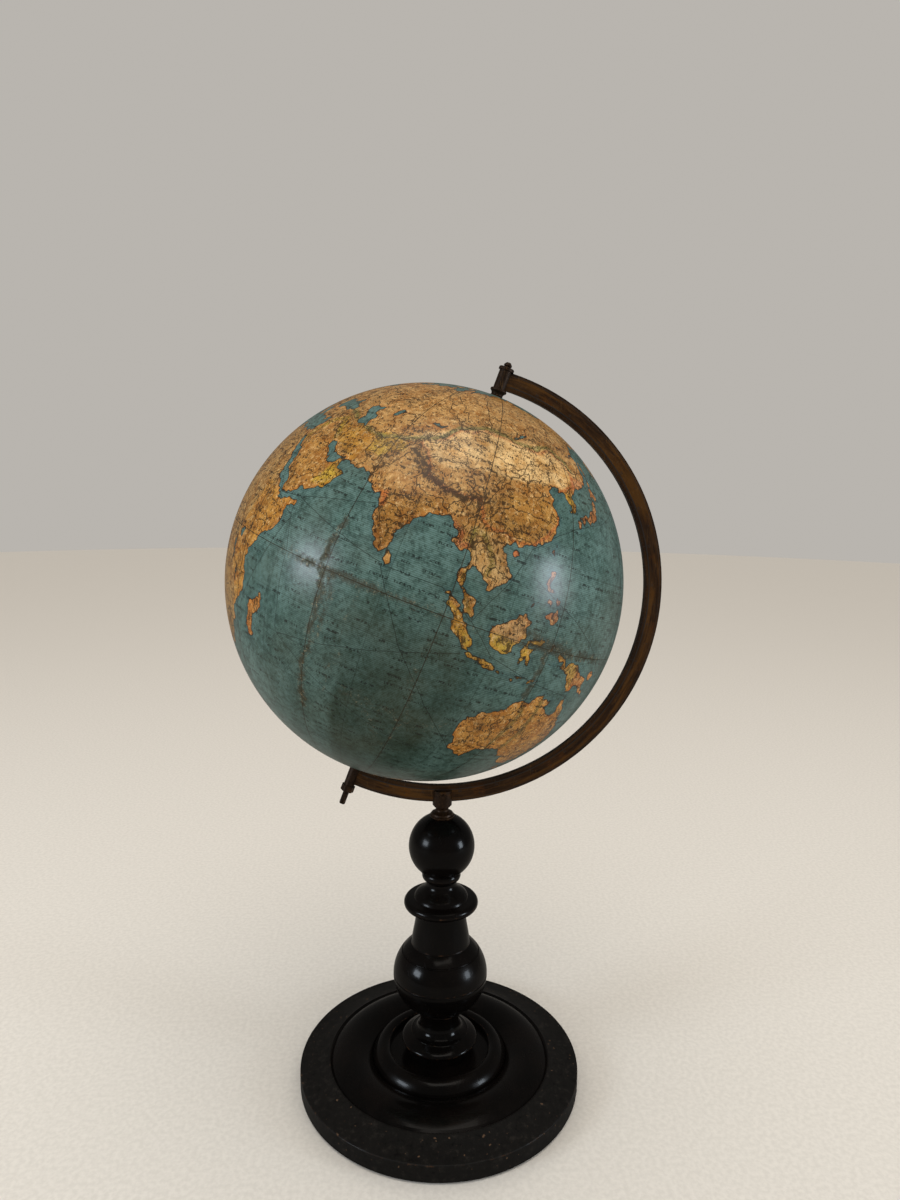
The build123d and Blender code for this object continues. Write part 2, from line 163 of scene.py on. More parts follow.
def node(kind, *values, **options):
    """A node with its inputs given in order, or by name where the name starts with a capital."""
    made = open_trees[-1].nodes.new("ShaderNode" + kind)
    for key, value in options.items():
        if key[0].islower():
            setattr(made, key, value)
    for index, value in enumerate(values):
        feed(made.inputs[index], value)
    feed_all(made, **{key: value for key, value in options.items() if not key[0].islower()})
    return made


print("node trees open so far", len(open_trees))

# %% [markdown]
# ## Sums on numbers and places
# A Math node does one sum, and a long mask takes dozens of them. One-line names for the sums
# keep such a recipe short enough to read.

# %% Sums
def sum_of(operation, *values):
    """One Math node; the operation is named as in Blender."""
    return node("Math", *values, operation=operation).outputs[0]


def times(a, b):
    return sum_of("MULTIPLY", a, b)


def plus(a, b):
    return sum_of("ADD", a, b)


def minus(a, b):
    return sum_of("SUBTRACT", a, b)


def most(a, b):
    return sum_of("MAXIMUM", a, b)


def absolute(value):
    return sum_of("ABSOLUTE", value)


def vector_sum(operation, *values, **options):
    """One Vector Math node, for places and offsets."""
    return node("VectorMath", *values, operation=operation, **options).outputs[0]


def length_of(vector):
    return node("VectorMath", vector, operation="LENGTH").outputs[1]


def parts_of(vector):
    return node("SeparateXYZ", vector).outputs


def vector_of(x, y, z):
    return node("CombineXYZ", x, y, z).outputs[0]


print("sums", ", ".join(way.__name__ for way in (times, plus, minus, most, absolute)))

# %% [markdown]
# ## Steps, blends and specks
# Nearly every mask here is made in two moves: noise or a distance first, and then a soft step
# that turns it into 0 and 1. A blend then paints one colour over another where the mask says.

# %% Steps, blends and specks
def step(value, low, high):
    """0 below low, 1 above high and smooth between. With low above high it falls instead."""
    rising = low < high
    made = node("MapRange", interpolation_type="SMOOTHSTEP", Value=value)
    feed_all(made, From_Min=min(low, high), From_Max=max(low, high))
    feed_all(made, To_Min=0.0 if rising else 1.0, To_Max=1.0 if rising else 0.0)
    return made.outputs[0]


def mixed(factor, a, b, way="MIX"):
    """Colour a turning into colour b as factor goes from 0 to 1."""
    made = node("Mix", data_type="RGBA", blend_type=way)
    for index, value in ((0, factor), (6, a), (7, b)):
        feed(made.inputs[index], value)
    return made.outputs[2]


def specks(where, size, detail=3.0, roughness=0.55, stretch=None):
    """Noise whose blobs are about `size` metres across."""
    if stretch:
        where = vector_sum("MULTIPLY", where, stretch)
    made = node("TexNoise", Vector=where, Scale=1.0 / size, Detail=detail, Roughness=roughness)
    return made.outputs[0]


def own_place():
    """The piece's own Object coordinates, in metres."""
    return node("TexCoord").outputs["Object"]


print("specks of 4 mm have the scale", 1.0 / (4 * MM))

# %% [markdown]
# ## Colours, finishes and bump
# Colours are written as the three numbers a paint program shows, and turned into the linear
# values that a shader wants. A finish is a material whose Principled shader gets its inputs
# from such recipes.

# %% Colours and finishes
def srgb(red, green, blue):
    """A colour named by its three 0 to 255 values, as the linear colour a shader wants."""
    linear = []
    for channel in (red, green, blue):
        part = channel / 255
        linear.append(part / 12.92 if part <= 0.04045 else ((part + 0.055) / 1.055) ** 2.4)
    return (*linear, 1.0)


def new_finish(name):
    """Open the tree of a new material; gives the material and its Principled shader."""
    made = bpy.data.materials.new(name)
    made.use_nodes = True
    open_trees.append(made.node_tree)
    return made, made.node_tree.nodes["Principled BSDF"]


def raise_by(shader, strength, distance, height):
    """Bump: the surface stands up by `distance` metres where `height` is 1."""
    bump = node("Bump", Strength=strength, Distance=distance, Height=height)
    feed(shader.inputs["Normal"], bump.outputs[0])


def dress(material, *names):
    """Give a finish to CAD nodes through their own material slots."""
    for name in names:
        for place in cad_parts[name].material_slots:
            place.material = material


print("pale plaster is", tuple(round(v, 3) for v in srgb(206, 201, 193)))

# %% [markdown]
# ## Effects that several finishes share
# Old varnish, brass and black polish all carry fine scratches and blotches of dirt, and the
# turned wood has lost its black where a hand or cloth has rubbed a proud ring. Each effect is
# a node group that gives out a mask, so every finish can decide what to do with it.

# %% Group: blotches and fine scratches
def group(name, inputs, outputs):
    """Open the tree of a new node group; gives the group, its inputs and its outputs."""
    made = bpy.data.node_groups.new(name, "ShaderNodeTree")
    open_trees.append(made)
    for label, kind, value in inputs:
        socket = made.interface.new_socket(label, in_out="INPUT", socket_type="NodeSocket" + kind)
        if value is not None:
            socket.default_value = value
    for label, kind in outputs:
        made.interface.new_socket(label, in_out="OUTPUT", socket_type="NodeSocket" + kind)
    given = made.nodes.new("NodeGroupInput")
    taken = made.nodes.new("NodeGroupOutput")
    return made, given.outputs, taken.inputs


def use_group(made, **inputs):
    """Place a node group in the open tree; gives its outputs."""
    placed = node("Group", node_tree=made)
    feed_all(placed, **inputs)
    return placed.outputs


ageing, given, taken = group(
    "ageing",
    [("Place", "Vector", None), ("Blotch Size", "Float", 0.03), ("Scratch Size", "Float", 0.004)],
    [("Blotches", "Float"), ("Scratches", "Float"), ("Dust", "Float")],
)
blotch_scale = sum_of("DIVIDE", 1.0, given["Blotch Size"])
blotches = node("TexNoise", Vector=given["Place"], Scale=blotch_scale, Detail=5.0)
feed(taken["Blotches"], step(blotches.outputs[0], 0.40, 0.66))
scratch_scale = sum_of("DIVIDE", 1.0, given["Scratch Size"])
drawn_out = vector_sum("MULTIPLY", given["Place"], (1.0, 0.25, 0.12))
scratches = node(
    "TexNoise", Vector=drawn_out, Scale=scratch_scale, Detail=2.0, Distortion=1.2
)
feed(taken["Scratches"], step(scratches.outputs[0], 0.66, 0.72))
dust = specks(given["Place"], 0.0016, 2.0)
feed(taken["Dust"], step(dust, 0.60, 0.72))
print("group", ageing.name)

# %% Group: a rubbed ring on turned wood
rubbed_ring, given, taken = group(
    "rubbed_ring",
    [("Radius", "Float", 0.1), ("Height", "Float", 0.1), ("Width", "Float", 0.002)],
    [("Mask", "Float")],
)
here = own_place()
across, deep, up = parts_of(here)
out_from_axis = length_of(vector_of(across, deep, 0.0))
side_gap = minus(out_from_axis, given["Radius"])
up_gap = minus(up, given["Height"])
gap = length_of(vector_of(side_gap, up_gap, 0.0))
near = minus(1.0, sum_of("DIVIDE", gap, given["Width"]))
ragged = specks(here, 0.007, 5.0, 0.7)
worn = plus(near, times(ragged, 2.2))
feed(taken["Mask"], step(worn, 1.95, 2.35))
print("group", rubbed_ring.name)

# %% [markdown]
# ## Floor
# A plain pale floor. It isn't part of the object. The real stand is
# on a small pale block in a darker room, so the polish mirrors the floor darker than it is.

# %% Pale floor
floor_radius = 6.0
floor_mesh = bmesh.new()
bmesh.ops.create_circle(floor_mesh, cap_ends=True, radius=floor_radius, segments=64)
floor_data = bpy.data.meshes.new("floor")
floor_mesh.to_mesh(floor_data)
floor_mesh.free()
floor = in_scene("floor", floor_data)
plaster, shader = new_finish("pale_floor")
grain = specks(own_place(), 0.004, 4.0)
shade = mixed(step(grain, 0.3, 0.7), srgb(206, 201, 193), srgb(216, 211, 203))
mirrored = node("LightPath").outputs["Is Glossy Ray"]
shade = mixed(times(mirrored, 0.7), shade, srgb(40, 37, 33))
feed_all(shader, Base_Color=shade, Roughness=0.85)
raise_by(shader, 0.15, 0.0005, grain)
floor_data.materials.append(plaster)
print("floor radius", floor_radius)

# %% [markdown]
# ## Ebonised wood
# The column, the ball and the swelling of the base are stained black and French polished:
# nearly black, glossy, with a brown tone where light rakes over it, and bare brown wood on
# the proud rings. The rim of the base has lost its shine and holds dust and small chips.
# Turned wood has its grain along the column, so the noise is drawn out along Z there, and
# along Y in the flat base.

# %% Black polish
def black_polish(name, grain_stretch, rings, gloss, dull_rim=None):
    """Ebonised wood; `rings` lists (radius, height, width) of the rubbed places in millimetres."""
    made, shader = new_finish(name)
    here = own_place()
    marks = use_group(ageing, Place=here, Blotch_Size=0.035, Scratch_Size=0.003)
    grain = specks(here, 0.0022, 4.0, 0.6, grain_stretch)
    black = mixed(grain, srgb(3, 3, 3), srgb(9, 7, 6))
    black = mixed(times(marks["Blotches"], 0.35), black, srgb(18, 12, 9))
    rubbed = None
    for radius, height, width in rings:
        ring = use_group(rubbed_ring, Radius=radius * MM, Height=height * MM, Width=width * MM)
        rubbed = ring[0] if rubbed is None else most(rubbed, ring[0])
    brown = mixed(grain, srgb(44, 28, 17), srgb(84, 56, 34))
    colour = mixed(times(rubbed, 0.6), black, brown)
    colour = mixed(times(marks["Dust"], 0.012), colour, srgb(120, 112, 100))
    rough = plus(gloss, times(marks["Blotches"], 0.10))
    rough = plus(rough, times(rubbed, 0.25))
    rough = plus(rough, times(marks["Scratches"], 0.12))
    if dull_rim:
        across, deep, _ = parts_of(here)
        radius = length_of(vector_of(across, deep, 0.0))
        dull = step(radius, dull_rim - 1.5 * MM, dull_rim + 1.5 * MM)
        rough = plus(rough, times(dull, 0.30))
        grey = mixed(grain, srgb(12, 11, 10), srgb(23, 21, 19))
        worn_dust = specks(here, 0.006, 6.0, 0.8)
        settled = times(step(worn_dust, 0.52, 0.66), 0.5)
        grey = mixed(settled, grey, srgb(44, 40, 36))
        grey = mixed(step(worn_dust, 0.44, 0.34), grey, srgb(6, 5, 5))
        chips = step(specks(here, 0.0035, 2.0, 0.5), 0.70, 0.73)
        grey = mixed(times(chips, 0.7), grey, srgb(96, 74, 56))
        grey = mixed(times(rubbed, 0.6), grey, brown)
        colour = mixed(dull, colour, grey)
    coat = minus(0.08, times(rubbed, 0.08))
    feed_all(shader, Base_Color=colour, Roughness=rough, Specular_IOR_Level=0.115)
    feed_all(shader, Coat_Weight=coat, Coat_Roughness=0.10)
    height = minus(times(grain, 0.5), times(marks["Scratches"], 0.4))
    height = minus(height, times(rubbed, 0.5))
    raise_by(shader, 0.25, 0.0002, height)
    return made


column_rings = [
    (33.3, 36.2, 1.6), (18.4, 63.0, 1.2), (41.3, 98.6, 1.4), (25.6, 127.2, 1.3),
    (32.3, 163.7, 2.0), (16.8, 188.3, 1.4), (10.8, 241.6, 2.2), (25.0, 42.9, 1.2),
]
column_finish = black_polish("ebonised_column", (1.0, 1.0, 0.08), column_rings, 0.16)
base_rings = [(123.0, 16.0, 2.2), (122.6, 2.0, 1.8), (45.0, 29.0, 1.2)]
base_finish = black_polish("ebonised_base", (1.0, 0.08, 1.0), base_rings, 0.17, 0.0975)
dress(column_finish, "pedestal", "baluster", "collar", "ball")
dress(base_finish, "base_disc")
print("rubbed rings", len(column_rings) + len(base_rings))

# %% [markdown]
# ## Felt, steel and the hidden wood
# Nobody sees the underside until the globe is lifted, but each piece still gets its finish:
# green baize under the base, dull steel for the screw and washer, pale lime wood and grey
# papier-mache inside the globe.

# %% Green baize
baize, shader = new_finish("green_baize")
here = own_place()
fibres = specks(here, 0.0009, 5.0, 0.8)
patches = specks(here, 0.03, 4.0)
green = mixed(fibres, srgb(24, 48, 33), srgb(62, 92, 66))
green = mixed(times(step(patches, 0.45, 0.7), 0.4), green, srgb(88, 92, 66))
feed_all(shader, Base_Color=green, Roughness=0.95, Sheen_Weight=0.3)
raise_by(shader, 0.8, 0.0005, fibres)
dress(baize, "felt_pad")
print("finish", baize.name)

# %% Steel, lime wood and papier-mache
def plain_finish(name, size, dark, light, rough, metal, stretch=None):
    """A finish from one grain of noise, for pieces that hardly show."""
    made, shader = new_finish(name)
    grain = specks(own_place(), size, 5.0, 0.65, stretch)
    colour = mixed(step(grain, 0.3, 0.7), dark, light)
    rough = plus(rough, times(grain, 0.25))
    feed_all(shader, Base_Color=colour, Roughness=rough, Metallic=metal)
    raise_by(shader, 0.4, 0.0002, grain)
    return made


steel = plain_finish("dull_steel", 0.002, srgb(70, 66, 62), srgb(132, 128, 122), 0.30, 1.0)
lime = plain_finish(
    "lime_wood", 0.003, srgb(150, 116, 78), srgb(196, 163, 118), 0.6, 0.0, (1.0, 1.0, 0.1)
)
pulp = plain_finish("papier_mache", 0.006, srgb(52, 44, 32), srgb(84, 72, 54), 0.75, 0.0)
dress(steel, "base_washer", "base_screw", "fork_stud")
dress(lime, "north_pole_block", "south_pole_block", "axis_tube", "joint_strip")
dress(pulp, "north_shell", "south_shell")
print("plain finishes", steel.name, lime.name, pulp.name)

# %% [markdown]
# ## Brown brass
# The half meridian and its fittings are brass that has gone brown, nearly black in places,
# with warmer patches where fingers turn the globe. Brass is a metal, so the dirt on it is
# painted as a darker and rougher patch that is less metallic. On the band, painted shade
# darkens the inner strip and the outer edge.

# %% Old brass
inner_shade_end = ring_inner + 3.4 * MM
outer_shade_start = ring_outer - 1.0 * MM
shade_blend = 0.6 * MM


def old_brass(name, dark, light, bare, rough, wear_low, wear_high, along_band=False):
    """Brown patina over brass; `bare` shows in patches between the two wear levels."""
    made, shader = new_finish(name)
    here = own_place()
    marks = use_group(ageing, Place=here, Blotch_Size=0.018, Scratch_Size=0.0016)
    across, out = here, None
    if along_band:
        centred = vector_sum("SUBTRACT", here, tuple(ring_centre))
        x, y, z = parts_of(centred)
        out = length_of(vector_of(x, z, 0.0))
        turn = times(sum_of("ARCTAN2", z, x), 0.012)
        across = vector_of(turn, times(out, 0.7), y)
    drift = specks(here, 0.022, 6.0, 0.62)
    fine = specks(across, 0.0016, 5.0, 0.7)
    colour = mixed(step(fine, 0.3, 0.7), dark, light)
    patch = times(step(drift, wear_low, wear_high), step(fine, 0.25, 0.6))
    colour = mixed(patch, colour, bare)
    if along_band:
        # Painted shade: the band is painted darker along its inner strip, up to the engraved line,
        # and along its rounded outer edge.
        inner_edge_shade = step(out, inner_shade_end + shade_blend, inner_shade_end)
        outer_edge_shade = step(out, outer_shade_start - shade_blend, outer_shade_start)
        middle = step(specks(across, 0.0045, 4.0, 0.7), 0.42, 0.62)
        colour = mixed(times(middle, 0.55), colour, srgb(108, 70, 24))
        shade = most(times(inner_edge_shade, 0.55), times(outer_edge_shade, 0.85))
        colour = mixed(shade, colour, srgb(24, 14, 7))
    colour = mixed(times(marks["Scratches"], 0.14), colour, srgb(150, 110, 60))
    colour = mixed(times(marks["Dust"], 0.05), colour, srgb(150, 140, 120))
    shine = plus(0.45, times(patch, 0.3))
    dull = plus(rough, times(marks["Blotches"], 0.16))
    dull = minus(dull, times(patch, 0.08))
    feed_all(shader, Base_Color=colour, Metallic=shine, Roughness=dull, Specular_IOR_Level=0.25)
    height = minus(fine, times(marks["Scratches"], 0.5))
    raise_by(shader, 0.25, 0.00015, height)
    return made


band_brass = old_brass(
    "brown_band_brass", srgb(36, 20, 8), srgb(66, 42, 19), srgb(104, 60, 24), 0.42, 0.52, 0.74, True
)
fitting_brass = old_brass(
    "dark_fitting_brass", srgb(28, 17, 9), srgb(54, 35, 19), srgb(112, 74, 34), 0.36, 0.56, 0.72
)
bush_brass = old_brass(
    "clean_bush_brass", srgb(120, 88, 44), srgb(172, 132, 70), srgb(196, 156, 88), 0.30, 0.45, 0.6
)
dress(band_brass, "half_meridian")
dress(
    fitting_brass, "ball_washer", "meridian_fork", "fork_pin", "axle", "north_sleeve",
    "south_sleeve", "north_cap", "south_nut", "north_collar", "south_collar",
)
dress(bush_brass, "north_bush", "south_bush")
print("brass finishes", band_brass.name, fitting_brass.name, bush_brass.name)

# %% [markdown]
# ## Helpers for new pieces
# A new piece is modelled in a bmesh, then made an object at the origin that rides on a CAD
# body. Its place is in its mesh, as for the CAD pieces.

# %% Turn a bmesh into a piece
def piece(name, work, finish, body, smooth=False):
    """Make the bmesh an object that rides on a body, and free it."""
    data = bpy.data.meshes.new(name)
    work.to_mesh(data)
    work.free()
    data.materials.append(finish)
    if smooth:
        data.shade_smooth()
    made = in_scene(name, data)
    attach(made, body)
    return made


# %% [markdown]
# ## The scale on the half meridian
# The band is graduated in degrees from the equator to each pole: a tick for every degree,
# longer for every fifth and tenth, an engraved line above them, numerals every ten degrees
# and a row of small punched dots. The maker filled the cuts with black wax. Here the wax is
# modelled: thin strips that stand two hundredths of a millimetre out of the brass. Ticks are
# small flattened cubes, turned and moved by a matrix; the line is one corner of a square
# spun through the band's arc. A latitude seen from the globe's centre isn't the same angle
# seen from the band's own centre, so `band_angle` turns one into the other.

# %% Where a latitude falls on the band
def band_angle(latitude, radius):
    """Angle about the band's centre, from the globe's equator, of a latitude in degrees."""
    return radians(latitude) + asin(ring_offset * sin(radians(latitude)) / radius)


def on_band(angle, radius, side):
    """Matrix for work drawn flat in XY, reading outwards, on one face of the band."""
    turn = Matrix.Rotation(axis_tilt - angle, 4, "Y")
    stand_up = Matrix.Rotation(radians(90) * -side, 4, "X")
    out = Matrix.Translation((radius, 0, 0))
    face = Matrix.Translation((0, side * ring_half_thickness, 0))
    return Matrix.Translation(ring_centre) @ face @ turn @ out @ stand_up


wax_rise = 0.02 * MM
tick_root = ring_inner + 0.25 * MM
line_radius = ring_inner + 3.6 * MM
numeral_radius = ring_inner + 5.6 * MM
dot_radius = ring_inner + 9.2 * MM
print("line of the scale at", round(line_radius / MM, 2), "mm")

# %% Black wax
wax, shader = new_finish("black_wax")
rub = specks(own_place(), 0.003, 4.0, 0.7)
wax_colour = mixed(rub, srgb(8, 6, 5), srgb(40, 28, 18))
feed_all(shader, Base_Color=wax_colour, Roughness=plus(0.45, times(rub, 0.3)))
raise_by(shader, 0.3, 0.0001, rub)
print("finish", wax.name)

# %% Ticks, line and dots
def wax_block(work, place, length, width):
    """A thin bar of wax, half sunk in the brass, `length` long across the band."""
    size = Matrix.Diagonal((length, width, 2 * wax_rise, 1))
    bmesh.ops.create_cube(work, size=1.0, matrix=place @ size)


scale_work = bmesh.new()
last_degree = 84
dot_size = 0.45 * MM
tick_sizes = {10: (3.3, 0.34), 5: (2.3, 0.34), 1: (1.5, 0.24)}
for side in (-1, 1):
    for degree in range(-last_degree, last_degree + 1):
        reach, width = tick_sizes[10 if degree % 10 == 0 else 5 if degree % 5 == 0 else 1]
        middle = tick_root + reach / 2 * MM
        place = on_band(band_angle(degree, middle), middle, side)
        wax_block(scale_work, place, reach * MM, width * MM)
        if degree % 5 == 0 and degree % 10:
            place = on_band(band_angle(degree, dot_radius), dot_radius, side)
            bmesh.ops.create_cone(
                scale_work, cap_ends=True, segments=10, radius1=dot_size, radius2=dot_size,
                depth=2 * wax_rise, matrix=place,
            )
print("wax faces so far", len(scale_work.faces))

# %% The engraved line: a thin strip spun along the band
line_end = 87.5
for side in (-1, 1):
    for strip_radius, width in ((line_radius, 0.75), (ring_outer - 2.1 * MM, 0.45)):
        first = band_angle(-line_end, strip_radius)
        last = band_angle(line_end, strip_radius)
        start = on_band(first, strip_radius, side)
        corners = [
            scale_work.verts.new(start @ Vector((across * width / 2 * MM, 0, up * wax_rise)))
            for across, up in ((-1, -1), (1, -1), (1, 1), (-1, 1))
        ]
        section = scale_work.faces.new(corners)
        bmesh.ops.spin(
            scale_work, geom=[section], cent=ring_centre, axis=(0, -1, 0),
            angle=last - first, steps=170, use_merge=False, use_duplicate=False,
        )
bmesh.ops.recalc_face_normals(scale_work, faces=scale_work.faces)
print("wax faces", len(scale_work.faces))
piece("meridian_scale", scale_work, wax, "stand")

# %% Numerals, from text made into a mesh
def numeral_mesh(body, height):
    """The outline of a number as a flat mesh of its own, centred on its place."""
    words = bpy.data.curves.new("numeral", "FONT")
    words.body = body
    words.size = height
    words.align_x = "CENTER"
    words.align_y = "CENTER"
    words.extrude = wax_rise
    words.resolution_u = 3
    holder = bpy.data.objects.new("numeral", words)
    shape = bpy.data.meshes.new_from_object(holder)
    bpy.data.objects.remove(holder)
    bpy.data.curves.remove(words)
    return shape


numeral_height = 2.9 * MM
numeral_work = bmesh.new()
for side in (-1, 1):
    for degree in range(-80, 81, 10):
        shape = numeral_mesh(str(abs(degree)), numeral_height)
        quarter = Matrix.Rotation(radians(-90), 4, "Z")
        place = on_band(band_angle(degree, numeral_radius), numeral_radius, side)
        shape.transform(place @ quarter)
        numeral_work.from_mesh(shape)
        bpy.data.meshes.remove(shape)
meridian_numerals = piece("meridian_numerals", numeral_work, wax, "stand")
print("numeral faces", len(meridian_numerals.data.polygons))

# %% [markdown]
# ## Screw thread on the axle's tail
# Below the nut the axle ends in a few millimetres of worn thread. A thread is a small
# triangle that turns about the axle while it moves along it, which is what the spin operator
# does when it is given a step along the axis, `dvec`, as well as an angle.

# %% Thread
thread_work = bmesh.new()
thread_pitch = 0.9 * MM
turns = 12
thread_top = -189.8 * MM
profile = ((2.36, -0.36), (2.62, 0.0), (2.36, 0.36))
corners = [thread_work.verts.new((r * MM, 0, thread_top + z * MM)) for r, z in profile]
tooth = thread_work.faces.new(corners)
steps_a_turn = 20
bmesh.ops.spin(
    thread_work, geom=[tooth], cent=(0, 0, 0), axis=(0, 0, 1), angle=radians(360) * turns,
    dvec=(0, 0, -thread_pitch / steps_a_turn), steps=steps_a_turn * turns,
)
bmesh.ops.recalc_face_normals(thread_work, faces=thread_work.faces)
bmesh.ops.transform(thread_work, matrix=tilted, verts=thread_work.verts)
axle_thread = piece("axle_thread", thread_work, fitting_brass, "stand")
print("thread faces", len(axle_thread.data.polygons))

# %% [markdown]
# ## The map: coast outlines
# The real map is printed from engraved copper and coloured by hand with a brush. It could be
# drawn as an image, but a pattern made from geometry stays sharp and can be changed. So the
# coasts are written down here as rough outlines, east and north in degrees, and a
# seeded random walk makes them ragged. A number over 180 goes on past the date line. Each
# outline is a name, a colon and its corners, and a semicolon parts it from the next.

# %% Outlines of Africa, Asia and Europe
def listed(text):
    """Pairs of a heading and its corners, an array with a row of (east, north) for each."""
    pairs = []
    for entry in text.split(";"):
        heading, corners = entry.split(":")
        rows = [[float(n) for n in corner.split()] for corner in corners.split(",")]
        pairs.append((heading.strip(), np.array(rows)))
    return pairs


land_outlines = dict(listed("""
africa: -6 35.8, -2 35.2, 3 36.8, 10 37.2, 11 34, 15.2 32.4, 19.5 30.4, 20.5 32.8, 25 31.6, 29 31,
32.6 31.3, 32.6 29.8, 33.8 27, 35.5 24, 37.3 21, 37.5 18.5, 39.5 15.3, 43 12, 43.2 11.4, 45 10.5,
51.2 11.9, 51 10.3, 48 4.5, 45 2, 41.5 -2, 39.5 -4.5, 38.8 -6.5, 40.5 -10.7, 40.7 -15, 36.5 -18.8,
34.8 -20.5, 35.5 -24, 32.8 -26, 32.5 -28.5, 30.5 -31, 27 -33.8, 22 -34.2, 20 -34.8, 18.3 -34,
18 -31.8, 15.8 -27.5, 14.5 -22.8, 12 -18, 13.7 -12.5, 12.3 -6, 9 -1, 9.5 3.8, 6 4.3, 2 6.2, -3 5,
-7.5 4.4, -11 6.8, -13.3 9, -16.7 12.5, -17.3 14.8, -16.3 19, -17 21, -14.5 26.2, -11 28.8,
-9.7 31.5, -6.8 34;
asia_and_europe: 32.6 29.8, 34.2 31.3, 35.8 35, 36.2 36.8, 32.5 36, 30.5 36.8, 28 36.6, 26.5 38.5,
26.2 40, 27.5 40.4, 26 40.9, 23.8 40.6, 22.8 40.2, 24 37.8, 22.8 36.5, 21.3 37.8, 19.5 40.5,
19.3 42, 15.5 43.8, 13.7 45.3, 12.4 45.2, 12.6 44, 14 42.5, 16 41.9, 18.4 40.2, 17 40.5, 17.1 39,
15.8 38, 15.8 40, 14.3 40.7, 12 42, 10.2 43.8, 8.5 44.3, 6 43.1, 3.2 43.1, 3.2 41.8, 0 39.5,
-0.5 38.2, -2 36.8, -5.5 36.1, -8.9 37.1, -9.4 38.8, -8.8 43.3, -1.8 43.4, -1.2 46, -4.6 48.2,
-1.5 48.8, -1.6 49.6, 1.5 50.2, 4 51.6, 6 53.4, 8.8 54, 8.2 57, 10.6 57.6, 10.5 54.5, 14 54,
18.6 54.6, 21 55.2, 21.5 57.5, 24 57.2, 23.6 59.2, 29.8 59.7, 23 60, 21.4 61, 25.3 65, 22 65.8,
17.3 61.5, 18.5 60, 16.5 57, 14.2 55.5, 12.8 55.6, 11.2 59, 8 58.1, 5.5 59, 5 62, 12 65.5, 15 68.5,
21 70, 28 71, 31 69.8, 40 67.5, 40.5 66.4, 33 66.6, 34.5 64.5, 38 64, 40.5 64.7, 44 66, 44 68.3,
53 68.3, 60 69, 68 68.4, 67 71.5, 72.5 72.8, 73 68, 75 72, 81 73.2, 87 75, 98 76.2, 104.3 77.7,
113 76, 108 73.3, 114 73.6, 127 73.3, 130 71, 140 72.4, 150 71.6, 160 69.7, 170 70, 180 69,
190 66.2, 180 64.8, 177.5 62.5, 170 60, 163.3 59.5, 162 56.5, 160 53.2, 156.8 51, 155.7 56.5,
163.5 61.8, 160 61.6, 155 59.3, 149 59.5, 142 59, 135.5 54.7, 140.5 53.8, 140.4 48.5, 135.3 44.3,
132 43.1, 130.6 42.3, 127.6 39.8, 129.4 37, 129 35.2, 126.5 34.5, 126.7 37.2, 125 39.6, 121.5 38.9,
121.8 40.8, 118 39.1, 119 37.2, 122.5 37.2, 119.3 35, 121.8 32, 121.9 30, 120 27, 118 24.5,
114.2 22.4, 110.5 21, 108.3 21.6, 106 19.5, 108.8 15.5, 109.3 12, 107 10.4, 104.9 8.7, 105 10.2,
102.6 12.2, 100.9 13.4, 100 13.3, 99.3 10, 100.4 7.3, 103.4 4, 104.2 1.4, 101.3 2.8, 100.3 5.8,
98.3 8, 98.6 12, 97.6 16.3, 95.3 15.8, 94.4 16.4, 94.2 19, 92 21.5, 90.5 22.5, 88.5 21.7, 87 21.3,
85 19.6, 82.3 16.7, 80.1 15, 80.2 12.5, 79.8 10.3, 78 8.3, 76.5 9.3, 74.7 13.5, 73 17.5, 72.8 20.5,
72.5 21.8, 70.8 20.8, 69.1 22.3, 70 22.9, 67.3 24.2, 66.5 25.3, 61.5 25.1, 57.2 25.6, 56.8 27,
54.5 26.6, 51.5 27.9, 50 30.1, 48.5 30, 48 29.6, 50 26.8, 50.8 25, 51.3 26, 51.7 24.3, 54.3 24.1,
56.2 26.2, 56.6 24.5, 59.8 22.5, 57.8 19.5, 55.2 17.3, 52.2 15.6, 48.8 14, 45 12.8, 43.4 12.7,
42.7 16.5, 39.2 21, 38.4 23.5, 35 28, 34.9 29.4, 34.2 27.8
"""))
print("continents of the old world", len(land_outlines))

